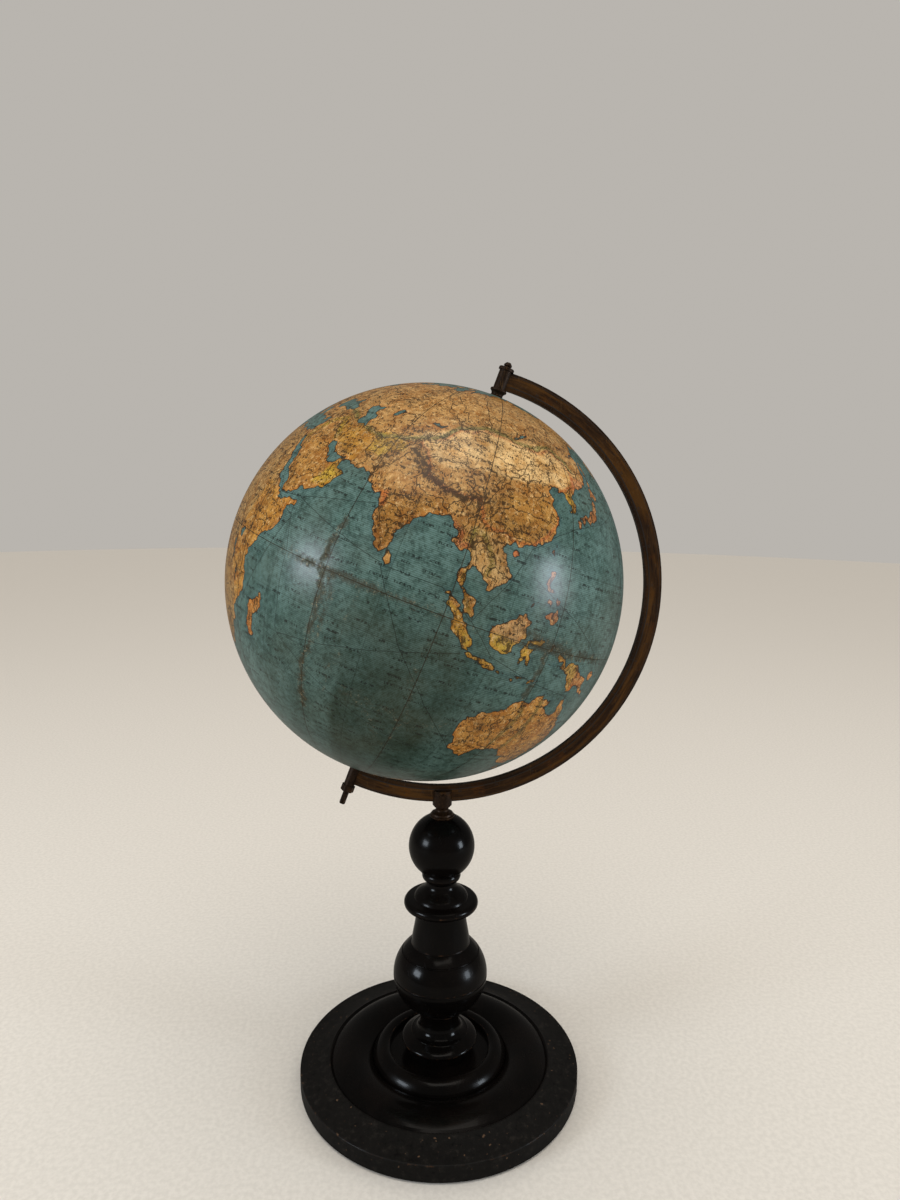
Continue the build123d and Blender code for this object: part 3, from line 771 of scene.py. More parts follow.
# %% Outlines from Ceylon to New Zealand
land_outlines.update(listed("""
ceylon: 79.8 7.5, 80 9.7, 81.4 8.6, 81.9 7, 80.6 5.9;
sumatra: 95.3 5.6, 97.6 5.2, 100.3 2.6, 103.5 0.2, 104.5 -2, 106 -3, 105.8 -5.8, 104.4 -5.8,
101.5 -3.2, 100.3 -1, 98.8 1.7, 97 3.2;
java: 105.3 -6.6, 106.8 -6, 108.6 -6.7, 110.8 -6.4, 112.8 -6.9, 114.4 -7.7, 114.3 -8.7, 110 -8,
106.4 -7.4;
borneo: 109.1 1.5, 111.3 2.6, 113.9 4.6, 116.8 7, 119.2 5.2, 117.7 3.2, 119 1, 117.6 0.6, 116.5 -3,
114.6 -4, 111.8 -3.4, 110 -1.3, 109 0.4;
celebes: 119.8 0.8, 121 1.1, 124.9 1.6, 124.2 0.4, 120.5 0.4, 120.1 -0.9, 121.5 -0.9, 123.3 -0.9,
121.6 -2, 122.4 -3.3, 122.6 -5.2, 121.4 -4.6, 120.9 -2.8, 120.3 -3, 120.3 -5.5, 119.5 -5.4,
119.5 -3.4, 118.9 -2.6;
gilolo: 127.6 1.8, 128.4 1.4, 128 -0.8, 127.5 0.2;
ceram: 128 -3.2, 130.8 -3.1, 129.8 -3.7;
bali: 114.7 -8.2, 116.6 -8.4, 115.6 -8.9;
sumbawa: 116.9 -8.5, 119 -8.4, 118 -9;
flores: 119.9 -8.5, 122.9 -8.2, 121 -9;
sumba: 119.1 -9.5, 120.8 -10, 120 -10.3;
timor: 123.6 -10.3, 124.8 -9.2, 127.2 -8.4, 125.4 -9.8;
new_guinea: 131 -0.8, 134 -0.8, 135 -3.3, 138 -1.7, 141 -2.6, 145.8 -5.4, 147.8 -6.1, 147.2 -7.5,
150.5 -10.5, 147 -9.4, 144.5 -7.7, 142.5 -9.2, 139.3 -8.2, 138.7 -6.8, 136 -4.6, 133 -4,
133.8 -2.4, 131.2 -1.6;
new_britain: 148.5 -5.6, 152.3 -4.3, 151 -6.1;
luzon: 120.4 16.2, 120.6 18.5, 122.2 18.4, 121.6 16, 121.6 14.2, 124 12.7, 122.5 13.4, 120.7 13.8,
120 15.6;
mindanao: 122 7.2, 123.4 8.6, 125.4 9.8, 126.5 7.5, 125.4 5.7, 124 6.8;
panay: 122 11.7, 123.1 11.4, 123.2 9.4, 122.2 10.5;
samar: 124.4 12.5, 125.6 12.1, 125.6 11, 124.6 10.3;
palawan: 117.2 8.4, 119.5 11.3, 119 10, 117.8 8.2;
formosa: 121.6 25.2, 121 22, 120.1 23.2;
hainan: 108.7 19.2, 110.9 20, 110 18.3;
kyushu: 130 33.6, 131.9 33.5, 131.2 31.4, 130.2 31.3;
shikoku: 132.5 33.9, 134.5 34.2, 133.5 33.3, 132.8 32.8;
honshu: 131 34.2, 132.6 35.4, 136 35.8, 137 37.4, 139 38, 140 40.7, 141.3 41.4, 142 39.5, 140.9 38,
140.7 35.7, 138.8 34.8, 136 33.6, 135 34.6, 132.4 34.2;
yezo: 140 42.4, 141.6 45.4, 145.2 43.4, 143.3 42, 141 42.5, 141 41.6;
sakhalin: 142 46, 142 53, 143 54.4, 143.4 50, 144.7 48.8, 143 49.2, 143.5 46.6;
madagascar: 44.4 -20, 43.3 -22.8, 45 -25.5, 47.1 -25, 49 -18.3, 50.3 -15.8, 49.3 -12.1, 47.3 -14.8,
44.5 -16.3;
australia: 114.1 -22, 113.6 -26, 115.7 -31.8, 115 -34.2, 118 -35, 123.5 -34, 126 -32.3,
131.2 -31.5, 134.2 -32.8, 135.7 -34.9, 137.8 -32.7, 138.2 -35.6, 140 -37.8, 143.6 -38.8, 146.4 -39,
149.9 -37.4, 151 -34, 153 -31, 153.5 -28.2, 153 -25, 150.8 -23.3, 149 -20.4, 146.3 -18.9,
145.4 -15, 143.6 -14.3, 142.5 -10.8, 141.6 -13, 140.9 -17.4, 139 -17.3, 135.6 -15, 136.9 -12.3,
133 -11.4, 130.8 -12.4, 129.6 -15, 128 -14.8, 126.8 -14, 124.4 -15.6, 123.6 -17.5, 122.2 -18,
119 -20, 116.7 -20.7;
tasmania: 144.7 -40.8, 148.3 -40.9, 148 -43.2, 146 -43.5;
new_zealand_north: 172.8 -34.5, 175.8 -36.8, 178.4 -37.7, 176.8 -40.3, 175 -41.5, 174.2 -39;
new_zealand_south: 172.7 -40.6, 174.3 -41.7, 170.7 -45.8, 168.4 -46.6, 166.5 -45.8, 170.8 -42.8
"""))
print("land outlines so far", len(land_outlines))

# %% Outlines of Europe's islands, the Americas and the far south
land_outlines.update(listed("""
great_britain: -5.5 50.1, 1.3 51.2, 0.2 53, -2 55.6, -3.5 58.6, -5.6 58.2, -4.8 55, -3 54, -4.5 53,
-3 51.5;
ireland: -6.3 52.2, -6 54.5, -8 55.3, -10 53.8, -9.8 51.6;
iceland: -22 64, -24 65.6, -16 66.4, -13.7 65, -19 63.4;
sicily: 12.5 37.7, 15.5 38.2, 15 36.8;
sardinia: 8.4 39, 8.6 40.9, 9.7 40.8, 9.6 39.2;
corsica: 8.6 42.2, 9.4 42.9, 9.3 41.5;
crete: 23.6 35.4, 26.2 35.2, 24.6 34.9;
cyprus: 32.4 35.1, 34.4 35.6, 33 34.6;
spitsbergen: 14 77, 12 79.6, 20 80, 21 78.5, 17 76.7;
novaya_zemlya: 52 71, 56 74, 68 76.8, 62 75.3, 57 71;
new_siberia: 138 74, 139 76, 149 75.2, 143 73.4;
greenland: -44 60, -52 65, -54 70, -60 76, -73 78.2, -60 82, -33 83.5, -18 80, -20 74, -25 70,
-37 66, -42 62.5;
north_america: -168 65.7, -161 66.5, -166.5 68.3, -156.5 71.3, -141 69.6, -128 70.3, -115 68.2,
-108 68, -96 68, -94 71.8, -90 69.5, -85 69.5, -81.5 68.5, -87 66.5, -87 64, -94 61.5, -94.7 58.8,
-92.5 57, -85 55.3, -82.3 53, -80 51.3, -79 54, -77 57.5, -78 62.3, -70 61, -65 59, -61.5 56.5,
-56 52.5, -60 50.2, -66.5 50.2, -70 47, -65 48.8, -64.5 46.3, -61 45.8, -66 43.6, -67 44.8,
-70.5 43.2, -70 41.7, -74 40.6, -76 37, -75.7 35.3, -79 33.2, -81.3 31, -80.2 26, -81.8 26,
-83 29.3, -85.5 30, -89.5 29.3, -94 29.5, -97.3 27.5, -97.8 22.5, -95.8 18.7, -92 18.6, -90.4 21,
-87 21.4, -88.3 16, -83.2 15, -83.6 11, -79.5 9.4, -77 8.6, -77.3 7.4, -80 7.4, -83 8.5,
-87.6 12.8, -94 16.1, -100 17, -105.5 20.2, -109.4 25.6, -114.7 31.5, -111 25, -109.6 23,
-112.2 25.6, -115 28.5, -117.2 32.6, -120.6 34.6, -124.3 40.3, -124 46.3, -122.5 48.5, -128 51,
-131.5 55, -137 58.5, -146 60.6, -152 59.5, -158 56.2, -164.5 54.7, -158 58.5, -165 61, -161 64;
south_america: -77.2 8.4, -75 11, -71.8 12.3, -71.6 10.8, -68 12, -64.5 10.3, -61.5 10, -57 6,
-51.5 4.5, -50 0.5, -44 -2.6, -37 -4.8, -34.9 -8, -38.8 -13, -39.2 -18, -42 -23, -48.5 -26.3,
-53.5 -33.8, -57 -36.4, -62.2 -39, -65 -41, -63.7 -42.7, -67.5 -46.2, -66 -48, -69 -51.5,
-68.4 -53, -65.2 -54.8, -71.5 -54, -74.5 -51, -75.5 -47, -73.5 -42, -73.4 -37.3, -71.5 -30,
-70.3 -20, -76 -14, -81.2 -6, -80 -2.6, -78.8 1.5, -77.3 4, -78 7.3;
newfoundland: -59 47.8, -55.5 51.5, -53 47, -56 47;
baffin: -62 66.5, -68 70, -80 73.6, -88 73, -80 70, -73 67.5, -78 64.5, -70 62.5, -65 63.5;
victoria_land_arctic: -117 70, -115 73, -105 73, -101 69.5, -110 68.8;
ellesmere: -80 76.3, -88 80, -75 83, -62 82.3, -77 78.5;
melville: -116 75, -110 76.3, -97 76.5, -98 74, -108 74.7;
cuba: -84.8 21.9, -82 23.1, -77 21.8, -74.2 20.2, -77.7 19.9, -79 21.4;
haiti: -74.4 18.5, -72.8 19.9, -68.5 18.6, -71.5 17.8;
graham_land: -57 -63.3, -60 -66, -64 -69, -68 -72, -72 -71, -67 -67, -62 -64.5;
south_victoria_land: 170 -71.5, 166 -74, 164 -77.5, 155 -77, 158 -73, 163 -70.5;
wilkes_land: 95 -65.5, 110 -66, 125 -66.2, 140 -66.8, 139 -68.4, 120 -68, 98 -67.5
"""))
print("land outlines", len(land_outlines))

# %% Outlines of lakes and inland seas
water_outlines = dict(listed("""
black_sea: 28 42, 28.8 44.5, 31 46.6, 33.5 46, 33 44.6, 36.5 45.2, 39 47.2, 38 45, 41.5 42.6,
41 41.1, 36.5 41.3, 33 42, 29.2 41.2;
caspian: 47.5 43, 46.9 44.6, 49 46.4, 53 46.8, 51 44.6, 53.8 42.2, 53 40, 53.8 37, 50.5 37.3,
48.9 38.6, 50 40.4;
aral: 58.3 44.2, 59.5 46.5, 61.8 46.3, 60 44, 58.6 43.6;
balkhash: 73.6 45.4, 74 46.4, 78.8 46.8, 78.8 46.2, 75 45.3;
baikal: 103.8 51.6, 108 53.4, 109.8 55.6, 110 54.4, 106 52, 104.6 51.4;
ladoga: 30.4 60.2, 30.5 61.6, 32.8 60.8;
victoria_lake: 31.8 -0.6, 34 0, 33 -2.6, 31.8 -2.2;
tanganyika: 29.3 -3.4, 29.8 -4.8, 31.2 -8.6, 30.4 -8, 29.3 -5.8;
nyassa: 34 -9.5, 35 -14.2, 34.6 -14.2, 33.9 -11;
lake_superior: -91.8 46.8, -88 48.8, -84.8 46.8, -88 47;
lake_michigan: -87.8 42, -86.8 45.8, -85.5 45.6, -86.4 42;
lake_huron: -83.6 45.8, -80 45.6, -82 43.2;
lake_erie: -83.2 41.7, -79 42.8, -81.4 41.7;
great_bear: -124 65.5, -120 67, -118 66, -121 64.8;
great_slave: -116 61, -109.5 62.6, -112 60.8;
winnipeg: -98.8 53.5, -96.5 51, -98.4 51.6
"""))
print("lakes and inland seas", len(water_outlines))

# %% [markdown]
# ## The map: rivers, frontiers and mountains
# Rivers, frontiers and the tracks of ships are thin engraved lines. Mountains are drawn as
# rows of dark hachures, so each range is a line with a width round it.

# %% Rivers
ink_lines = dict(listed("""
indus: 81 31.5, 76 34.5, 73 34, 71 30, 68 27, 67.5 24;
ganges: 79 31, 78 28, 81 26, 85 25.5, 88 24.5, 90 23;
brahmaputra: 82 30.5, 88 29.3, 94 29.4, 95 28, 91 26, 90 24;
nerbudda: 81 23, 77 22.6, 73 21.7;
godavery: 74 20, 79 18.8, 82 16.8;
kistna: 74 17.5, 78 16.2, 81 16;
irrawaddy: 98 28, 97 24.5, 95 21, 95.2 17, 94.8 16;
salween: 92 32, 97 30, 98.8 25, 97.8 19, 97.6 16.5;
mekong: 94 33, 98 30, 100.5 22.5, 101.5 18.2, 105 16, 105.5 12, 106.5 10;
menam: 100 19, 100 15.5, 100.6 13.6;
red_river: 100.5 25.5, 104 22.5, 106.5 20.3;
yangtze: 91 33.5, 97 32, 100 26.5, 104 29, 107 29.8, 111.5 30.5, 115 30, 118.5 32, 121.5 31.7;
hoang_ho: 96 34.8, 100 34, 103.5 36, 106.5 39, 110.5 40.5, 110.3 36, 113 35, 117 36.5, 119 37.7;
si_kiang: 103 25, 108 23.6, 112 23.2, 113.8 22.6;
amur: 108 48.5, 114 50, 121 53.4, 127 50, 131 47.8, 135 48.5, 138 51, 141 53;
lena: 105 54, 112 59.5, 120 60.5, 129 62, 124 66.5, 127 72.5;
yenisei: 94 51.5, 92 56, 89.5 61, 87 66, 84 70, 82 73;
angara: 105 52, 103 56, 98 58.3, 93 58.2;
ob: 84 52, 80 56, 74 61, 66 62.5, 66 66.5, 72 67;
irtysh: 84 47, 80 50.5, 74 54.8, 69 59.5, 68 61;
volga: 33 57, 40 57.5, 48 55.8, 49.5 53, 46 50, 45 48.3, 48 46;
don: 39 53.5, 40.5 50, 43.5 48.7, 39.5 47.3;
dnieper: 33 54.5, 31 50.5, 35 48.5, 32.5 46.6;
ural_river: 58 54, 56 51.4, 51.5 51.2, 51.8 47.2;
amu_darya: 73 38, 67 37.3, 63 39.5, 60.5 42, 59 43.7;
syr_darya: 76 41, 70 40.5, 67 44, 62 46;
tarim: 76 39.5, 80 41, 87 41, 90 40.3;
helmund: 68 34.5, 64 31, 61.5 31;
tigris: 40 38, 43.5 36, 45 33, 48 30.5;
euphrates: 39.5 39.7, 38.5 37, 41 34.8, 44.5 32.5, 47.5 31;
nile: 31.5 2, 31 6, 32.5 15.6, 34 18.5, 31 19.5, 33 24, 31.5 27.5, 31.3 31;
blue_nile: 37.5 12, 36 10, 32.6 15.6;
congo: 30 -9, 27 -4, 25 1, 20 2, 17 -1, 15.5 -4.5, 12.5 -6;
niger: -10 9, -7 13, -2 16.8, 3 14, 4.8 10, 6.3 5;
zambezi: 22 -12, 23.5 -16.5, 28 -16.5, 31 -15.7, 35.5 -18.2;
limpopo: 27 -24.5, 29.5 -22.2, 33 -24.5;
orange: 28.5 -29, 23 -29, 17 -28.6;
juba: 41.5 6, 42.5 2.5, 42.6 0;
danube: 9 48, 16 48.2, 19 47, 20.5 45, 26 43.8, 29 45.2;
rhine: 9 47, 8 50, 5 51.8;
darling: 149 -28.5, 145 -31, 142 -34, 139.5 -35.4;
murray: 148 -36, 144 -36, 142 -34.4;
amazon: -75 -10, -73 -4, -66 -3, -60 -3.2, -54 -2, -50.5 0;
madeira: -65 -13, -62 -8, -59 -3.5;
orinoco: -66 3, -67.5 6, -62 8.5;
parana: -49 -20, -54.5 -25.5, -58.5 -28, -60 -32, -58.5 -34.3;
mississippi: -95 47, -91 43, -91 38, -90 34, -91.2 30, -89.5 29.4;
missouri: -112 46.5, -104 48, -98 42.8, -94.8 39.2, -90.5 38.8;
rio_grande: -106.5 37.5, -106.5 32, -101 29, -97.5 26;
st_lawrence: -79 43.6, -74 45.2, -70 47.4;
mackenzie: -117 61, -124 63.5, -130 66.5, -134 69;
colorado: -107 40, -112 36.5, -114.6 32.5
"""))
print("rivers", len(ink_lines))

# %% Frontiers
ink_lines.update(listed("""
russia_and_china: 73.5 39.5, 76 41, 80 42, 80.5 45, 83 47, 87.5 49, 92 50.7, 98 51.8, 103 50.3,
108 49.6, 114 50, 118 49.7, 121 53.3, 127 50, 131 47.8, 134.5 48.3, 131 45, 130.7 42.5;
russia_and_persia: 48.5 38.6, 45 39.5, 44 41, 41.5 41.5;
turkestan: 53.8 37.2, 58 37.8, 61.3 36, 64 35.8, 67 37.3, 71 37, 74.8 37.3, 73.5 39.5;
persia_and_afghans: 61.3 36, 60.8 34, 61 31, 61.8 29.5, 63 27, 61.6 25.2;
afghans_and_india: 61.8 29.5, 66.3 29.8, 69.5 32, 71 34.5, 74.8 37.3;
himalaya_frontier: 74.8 37.3, 78.5 35, 79 32.5, 81 30.3, 85 28.4, 88.5 27.8, 92 27.8, 96.5 28.5,
97.5 26, 98.7 24, 99.5 22;
siam: 97.6 16.5, 98.5 18.5, 100.3 20.3, 102 18, 104.8 16.5, 105.6 14.4, 102.5 13.5, 102.6 12;
tonkin: 99.5 22, 102 22.5, 105 23.2, 107 22.5, 108 21.6;
great_wall: 99 39.8, 104 37.6, 108 38.5, 112 40, 116.5 40.5, 119.7 40;
gobi_edge: 97 42.7, 103 41.8, 109 42.5, 114 44.5, 119 46.8, 121 50;
tibet_edge: 78.5 35.3, 84 36, 90 36.5, 94.5 37.8, 99 37.5, 101 34, 99.5 30, 98.5 28.3;
korea_edge: 124.5 40, 127 41.6, 130.5 42.3;
turkey_and_persia: 44 39.6, 45 36.5, 46 33.2, 48 30.6;
arabia_inner: 37 29.5, 41 31, 45 29, 48 28.5, 51 24, 55 22.5, 52 18.5, 46 17, 43 17;
egypt_and_sudan: 25 31.5, 25 22, 31 22, 37 22;
abyssinia: 37 17.5, 36 13, 34 8, 36 4.5, 41.5 4, 45 5, 47.8 8, 43 11.2;
east_africa: 33.9 0.5, 34.5 -1.2, 37.5 -3, 39.2 -4.6;
german_east_africa: 29.5 -4.5, 30.8 -8.5, 34 -9.6, 35 -11.5, 40.4 -10.5;
transvaal: 25.5 -24.8, 29.5 -22.3, 32 -24.5, 31.5 -27.3, 28 -28, 25.5 -26;
congo_state: 12.5 -6, 17 -8, 22 -7.3, 24 -11, 28 -12, 30.5 -8.5, 29.5 -4, 30 1, 27.5 5, 23 4.5,
18.5 4.3, 17.5 0;
south_australia: 129 -14.9, 129 -31.6;
queensland: 138 -16.5, 138 -26, 141 -26, 141 -29, 149 -29, 153.4 -28.2;
new_south_wales: 141 -29, 141 -34, 144.5 -36, 150 -37.5;
northern_territory: 129 -26, 138 -26;
united_states: -123 49, -95 49, -89.5 48, -84.5 46.5, -82.5 43, -79 43.4, -74.5 45, -69 47.3;
mexico: -117 32.5, -111 31.3, -106.5 31.8, -101 29.5;
brazil: -60 5, -64 2, -70 0, -70 -4.3, -73 -8, -65.5 -10, -60 -14, -58 -20, -54.5 -26, -57.5 -30,
-53.4 -33.6
"""))
print("rivers and frontiers", len(ink_lines))

# %% Tracks of ships
ship_tracks = dict(listed("""
to_bombay: 32.6 29, 36 23, 40 17, 43.3 12.4, 52 13.3, 60 15.5, 72.7 18.8;
to_ceylon: 52 13, 65 9.5, 79.7 6.3;
to_singapore: 81 5.8, 89 6, 95 6.1, 100 3.6, 103.8 1;
to_hong_kong: 104.3 1.3, 107 7, 111 14, 114 21.8;
to_cape: 43.5 11.8, 52 8, 47 -4, 41 -16, 36 -27, 27 -34.5;
to_perth: 80 5.5, 90 -10, 102 -23, 114.5 -33.5;
to_adelaide: 58 -20.5, 75 -29, 95 -36, 115 -38, 137 -36.5;
to_batavia: 57.5 -20, 72 -17.5, 90 -12, 104.5 -7;
to_mauritius: 51 10, 55 0, 57 -19.5;
from_manila: 117 15, 124 12, 133 8.4, 142 4, 152 -2;
to_japan: 114.5 22, 122 27.5, 129 31, 139.5 34.3;
to_sydney: 104 1, 112 -5.5, 126 -9, 138 -10.6, 145 -12.2, 155 -27, 151.5 -34;
in_pacific: 141 34.5, 160 41, 185 46.5, 215 43, 236 38;
to_honolulu: 151.5 -34, 175 -20, 190 0, 202 21, 236 37;
in_atlantic: -5 48.5, -25 49, -50 43.5, -73 40.3;
to_brazil: -9.5 38, -19 22, -27 5, -34 -8, -42 -24, -56 -36;
round_cape: 18 -34, 5 -20, -10 -2, -19 14, -12 32, -10 38
"""))
print("tracks of ships", len(ship_tracks))

# %% Mountains
mountains = dict(listed("""
himalaya: 73.5 35.5, 77 32.5, 80.5 30, 84.5 28.3, 88.5 27.6, 93 28, 96.5 28.8;
himalaya_again: 74.5 36.3, 78 33.2, 81.5 30.6, 85.5 28.9, 90 28.3, 95.5 29.3;
kuen_lun: 75 38, 80 36, 86 36.3, 92 36, 98 35;
thian_shan: 68 41.5, 74 41.8, 80 42.2, 86 43.3, 93 43;
hindu_kush: 62 34.8, 67 34.8, 71 36.2, 74 36.8;
suleiman: 67 27, 68.5 30, 69.8 33;
altai: 83 50, 88 49.3, 93 48, 99 46.5;
sayan: 90 52.5, 97 53, 102 51.5;
stanovoi: 108 52.5, 115 55, 124 56.3, 131 56, 137 59, 143 62, 152 63, 160 65;
khingan: 118 43, 120 47, 122 51.5;
nan_shan: 95 39.5, 100 38, 103.5 36.2;
west_china: 98.5 31, 101 28, 103 32, 104 34;
south_china: 104 25, 109 25.6, 114 25, 118 27.5;
arakan: 94.5 18, 93.8 22, 95.5 26;
annam: 103.5 20.3, 106 17.3, 108 14.5, 108.3 12;
siam_hills: 99 18.5, 98.7 15, 99 12, 101.5 5.5;
western_ghats: 73.8 20, 74 17, 75.3 13, 77 9;
eastern_ghats: 78.5 12.5, 79.5 15, 83 18.5;
vindhya: 75 22.8, 80 23.5, 84 24;
zagros: 44.5 37, 47 34, 51 31, 55.5 28.5;
elburz: 49 37, 52 36, 57 37.3;
caucasus: 38.5 44.2, 43 43, 48 41.3;
armenia: 33 37.2, 37 38.3, 42 39.5, 45 39;
taurus: 30 37.2, 33.5 37, 36.5 37.5;
ural: 66 68, 60 64.5, 59.5 59, 59 54, 58 51;
yemen: 43.5 13.6, 43.8 16.5, 41 20;
hejaz: 39.5 22, 37 26.5, 35.5 29;
oman: 56.5 24, 58.5 22.9;
abyssinia: 39 14.5, 38.5 11.5, 39 8, 37 6, 40.5 9;
kenya: 37 2, 36.5 -1, 35.8 -4, 36.5 -7.5, 34.5 -10;
ruwenzori: 30 1, 29.5 -3, 30 -7;
drakensberg: 30.5 -24, 29.3 -28, 28 -31, 22 -32.5;
atlas: -8 31, -4 33, 3 35, 8 35.5;
cameroons: 9.5 4.5, 13 7.5, 15 7;
madagascar_hills: 48.8 -14, 47.5 -18, 46.8 -22.5;
sumatra_hills: 96 4.8, 99 1.4, 101 -1.5, 104 -5;
java_hills: 106.5 -6.9, 110 -7.3, 113.8 -8;
borneo_hills: 116.5 6, 115 2.5, 112.5 0.8, 115.5 -1.5;
new_guinea_hills: 134 -2.8, 138 -4, 142.5 -5.4, 147 -8.4;
great_divide: 145 -16.5, 147.5 -22, 151.5 -28, 149.5 -33, 147 -36.8;
west_australia: 117 -22.5, 119.5 -23.5, 117 -32;
macdonnell: 129 -23.8, 134 -23.6;
japan_hills: 132 34.8, 137 35.9, 139.5 37.5, 141 40.5;
philippine_hills: 121 17.5, 121.3 15, 125 7.8;
korea_hills: 128.5 41, 128 38, 128.6 36;
alps: 6 44, 7.5 46, 11 46.8, 15 46.8;
carpathians: 18 49.3, 24 48.5, 25.5 45.6, 22.5 45.3;
balkans: 16 44, 20 42, 25 42.7;
apennines: 9.5 44.5, 13.5 42.3, 16 39.5;
pyrenees: -1.5 43, 2.5 42.5;
norway: 7 60, 12 63.5, 18 68.3;
rockies: -146 63, -135 60, -122 54, -115 49, -110 43, -106 38, -105 33;
sierra_nevada: -122 48, -121.5 42, -118.5 36.5;
appalachians: -85 34.5, -80 38.5, -75 42, -70.5 45.3;
sierra_madre: -108 29, -104 23, -99 18.5, -92 15.5;
andes: -72 9, -76 4, -78.5 -1, -77.5 -8, -71 -16, -68 -22, -70 -30, -71 -38, -73 -46, -72 -52;
andes_east: -67 -14, -65 -19, -66.5 -25;
brazil_hills: -41 -12, -44 -19, -48.5 -24;
new_zealand_alps: 167.5 -45, 170.5 -43.3, 173 -41.8;
greenland_edge: -50 64, -52 70, -58 76, -35 82.5, -24 74, -32 68, -44 61
"""))
print("ranges of mountains", len(mountains))

# %% [markdown]
# ## The map: from outlines to values on the paper
# Each gore will be a fine grid of points, and every point carries a few numbers that the
# paper's material reads: how far it is from the coast, how far from the nearest drawn line,
# how mountainous it is, and the colour of the hand wash. They are worked out here once, on
# one grid of half degrees round the whole globe, with numpy.

# %% Ragged lines
walk = np.random.default_rng(1890)


def ragged(corners, closed, smallest=0.55, wander=0.17):
    """Break long runs in two again and again, pushing each new point sideways at random."""
    line = np.vstack([corners, corners[:1]]) if closed else corners
    for _ in range(7):
        start, end = line[:-1], line[1:]
        run = end - start
        length = np.hypot(run[:, 0] * np.cos(np.radians(start[:, 1])), run[:, 1])
        long_run = length > smallest
        if not long_run.any():
            break
        push = walk.normal(0, wander, len(run))[:, None] * np.column_stack([-run[:, 1], run[:, 0]])
        middle = (start + end) / 2 + push
        broken = np.empty((len(run), 2, 2))
        broken[:, 0] = start
        broken[:, 1] = middle
        keep = np.ones((len(run), 2), bool)
        keep[:, 1] = long_run
        line = np.vstack([broken[keep], end[-1:]])
    return line


def all_ragged(outlines, closed, *how):
    """Every outline of a set made ragged, in the order in which the set lists them."""
    return {name: ragged(corners, closed, *how) for name, corners in outlines.items()}


coasts = all_ragged(land_outlines, True)
shores = all_ragged(water_outlines, True)
inked = all_ragged(ink_lines, False, 0.6, 0.20)
tracks = all_ragged(ship_tracks, False, 2.0, 0.01)
ranges = all_ragged(mountains, False, 0.8, 0.12)
print("coast points", sum(len(line) for line in coasts.values()))

# %% The grid of half degrees, and what lies inside an outline
grid_step = 0.5
grid_east = first_seam + grid_step * np.arange(int(360 / grid_step) + 1)
grid_north = -90 + grid_step * np.arange(int(180 / grid_step) + 1)
grid_shape = (len(grid_north), len(grid_east))


def inside(line):
    """True where the grid lies inside a closed line. Every row counts the crossings before it."""
    found = np.zeros(grid_shape, bool)
    start, end = line[:-1], line[1:]
    low, high = line[:, 1].min(), line[:, 1].max()
    for row in np.nonzero((grid_north >= low) & (grid_north <= high))[0]:
        north = grid_north[row] + 1e-4
        cut = (start[:, 1] > north) != (end[:, 1] > north)
        if not cut.any():
            continue
        part = (north - start[cut, 1]) / (end[cut, 1] - start[cut, 1])
        crossing = np.sort(start[cut, 0] + part * (end[cut, 0] - start[cut, 0]))
        for whole_turn in (-360, 0, 360):
            count = np.searchsorted(crossing, grid_east + whole_turn)
            found[row] |= count % 2 == 1
    return found


dry = np.zeros(grid_shape, bool)
for line in coasts.values():
    dry |= inside(line)
for line in shores.values():
    dry &= ~inside(line)
print("land covers", round(float(dry.mean()), 3), "of the grid")

# %% East and north offset to the nearest of many lines
def offset_to(lines, reach):
    """Offsets in degrees of arc to the nearest line, and the distance, none above `reach`."""
    starts = np.vstack([line[:-1] for line in lines])
    ends = np.vstack([line[1:] for line in lines])
    turns = [np.array([whole_turn, 0.0]) for whole_turn in (-360.0, 0.0, 360.0)]
    starts = np.vstack([starts + turn for turn in turns])
    ends = np.vstack([ends + turn for turn in turns])
    low = np.minimum(starts, ends)
    high = np.maximum(starts, ends)
    offsets = np.zeros((*grid_shape, 3))
    offsets[..., 0] = reach
    offsets[..., 2] = reach
    tile = 20
    for row in range(0, grid_shape[0], tile):
        norths = grid_north[row:row + tile]
        squeeze = max(0.05, cos(radians(abs(norths[len(norths) // 2]))))
        margin = reach / squeeze
        tall = (low[:, 1] < norths[-1] + reach) & (high[:, 1] > norths[0] - reach)
        for column in range(0, grid_shape[1], tile):
            easts = grid_east[column:column + tile]
            near = tall & (low[:, 0] < easts[-1] + margin) & (high[:, 0] > easts[0] - margin)
            if not near.any():
                continue
            scale = np.array([squeeze, 1.0])
            begin = starts[near] * scale
            run = ends[near] * scale - begin
            east, north = np.meshgrid(easts, norths)
            spots = np.stack([east.ravel() * squeeze, north.ravel()], axis=1)
            apart = spots[:, None, :] - begin[None]
            along = (apart * run).sum(2) / np.maximum((run**2).sum(1), 1e-12)
            nearest = begin + np.clip(along, 0, 1)[..., None] * run
            gap = nearest - spots[:, None, :]
            square = (gap**2).sum(2)
            best = square.argmin(1)
            pick = np.arange(len(spots))
            distance = np.minimum(np.sqrt(square[pick, best]), reach)
            result = np.column_stack([gap[pick, best], distance]).reshape(*east.shape, 3)
            offsets[row:row + tile, column:column + tile] = result
    return offsets


coast_gap = offset_to([*coasts.values(), *shores.values()], 4.0)[..., 2]
coast = np.where(dry, coast_gap, -coast_gap)
ink = offset_to(list(inked.values()), 2.5)
track = offset_to(list(tracks.values()), 2.5)
ridge_gap = offset_to(list(ranges.values()), 4.0)[..., 2]
relief = np.exp(-(ridge_gap / 1.5) ** 2) * dry
great_range = offset_to([ranges["himalaya"], ranges["himalaya_again"]], 4.0)[..., 2]
relief = np.maximum(0.8 * relief, 2.2 * np.exp(-(great_range / 0.5) ** 2))
print("deepest inland", round(float(coast.max()), 1), "degrees")

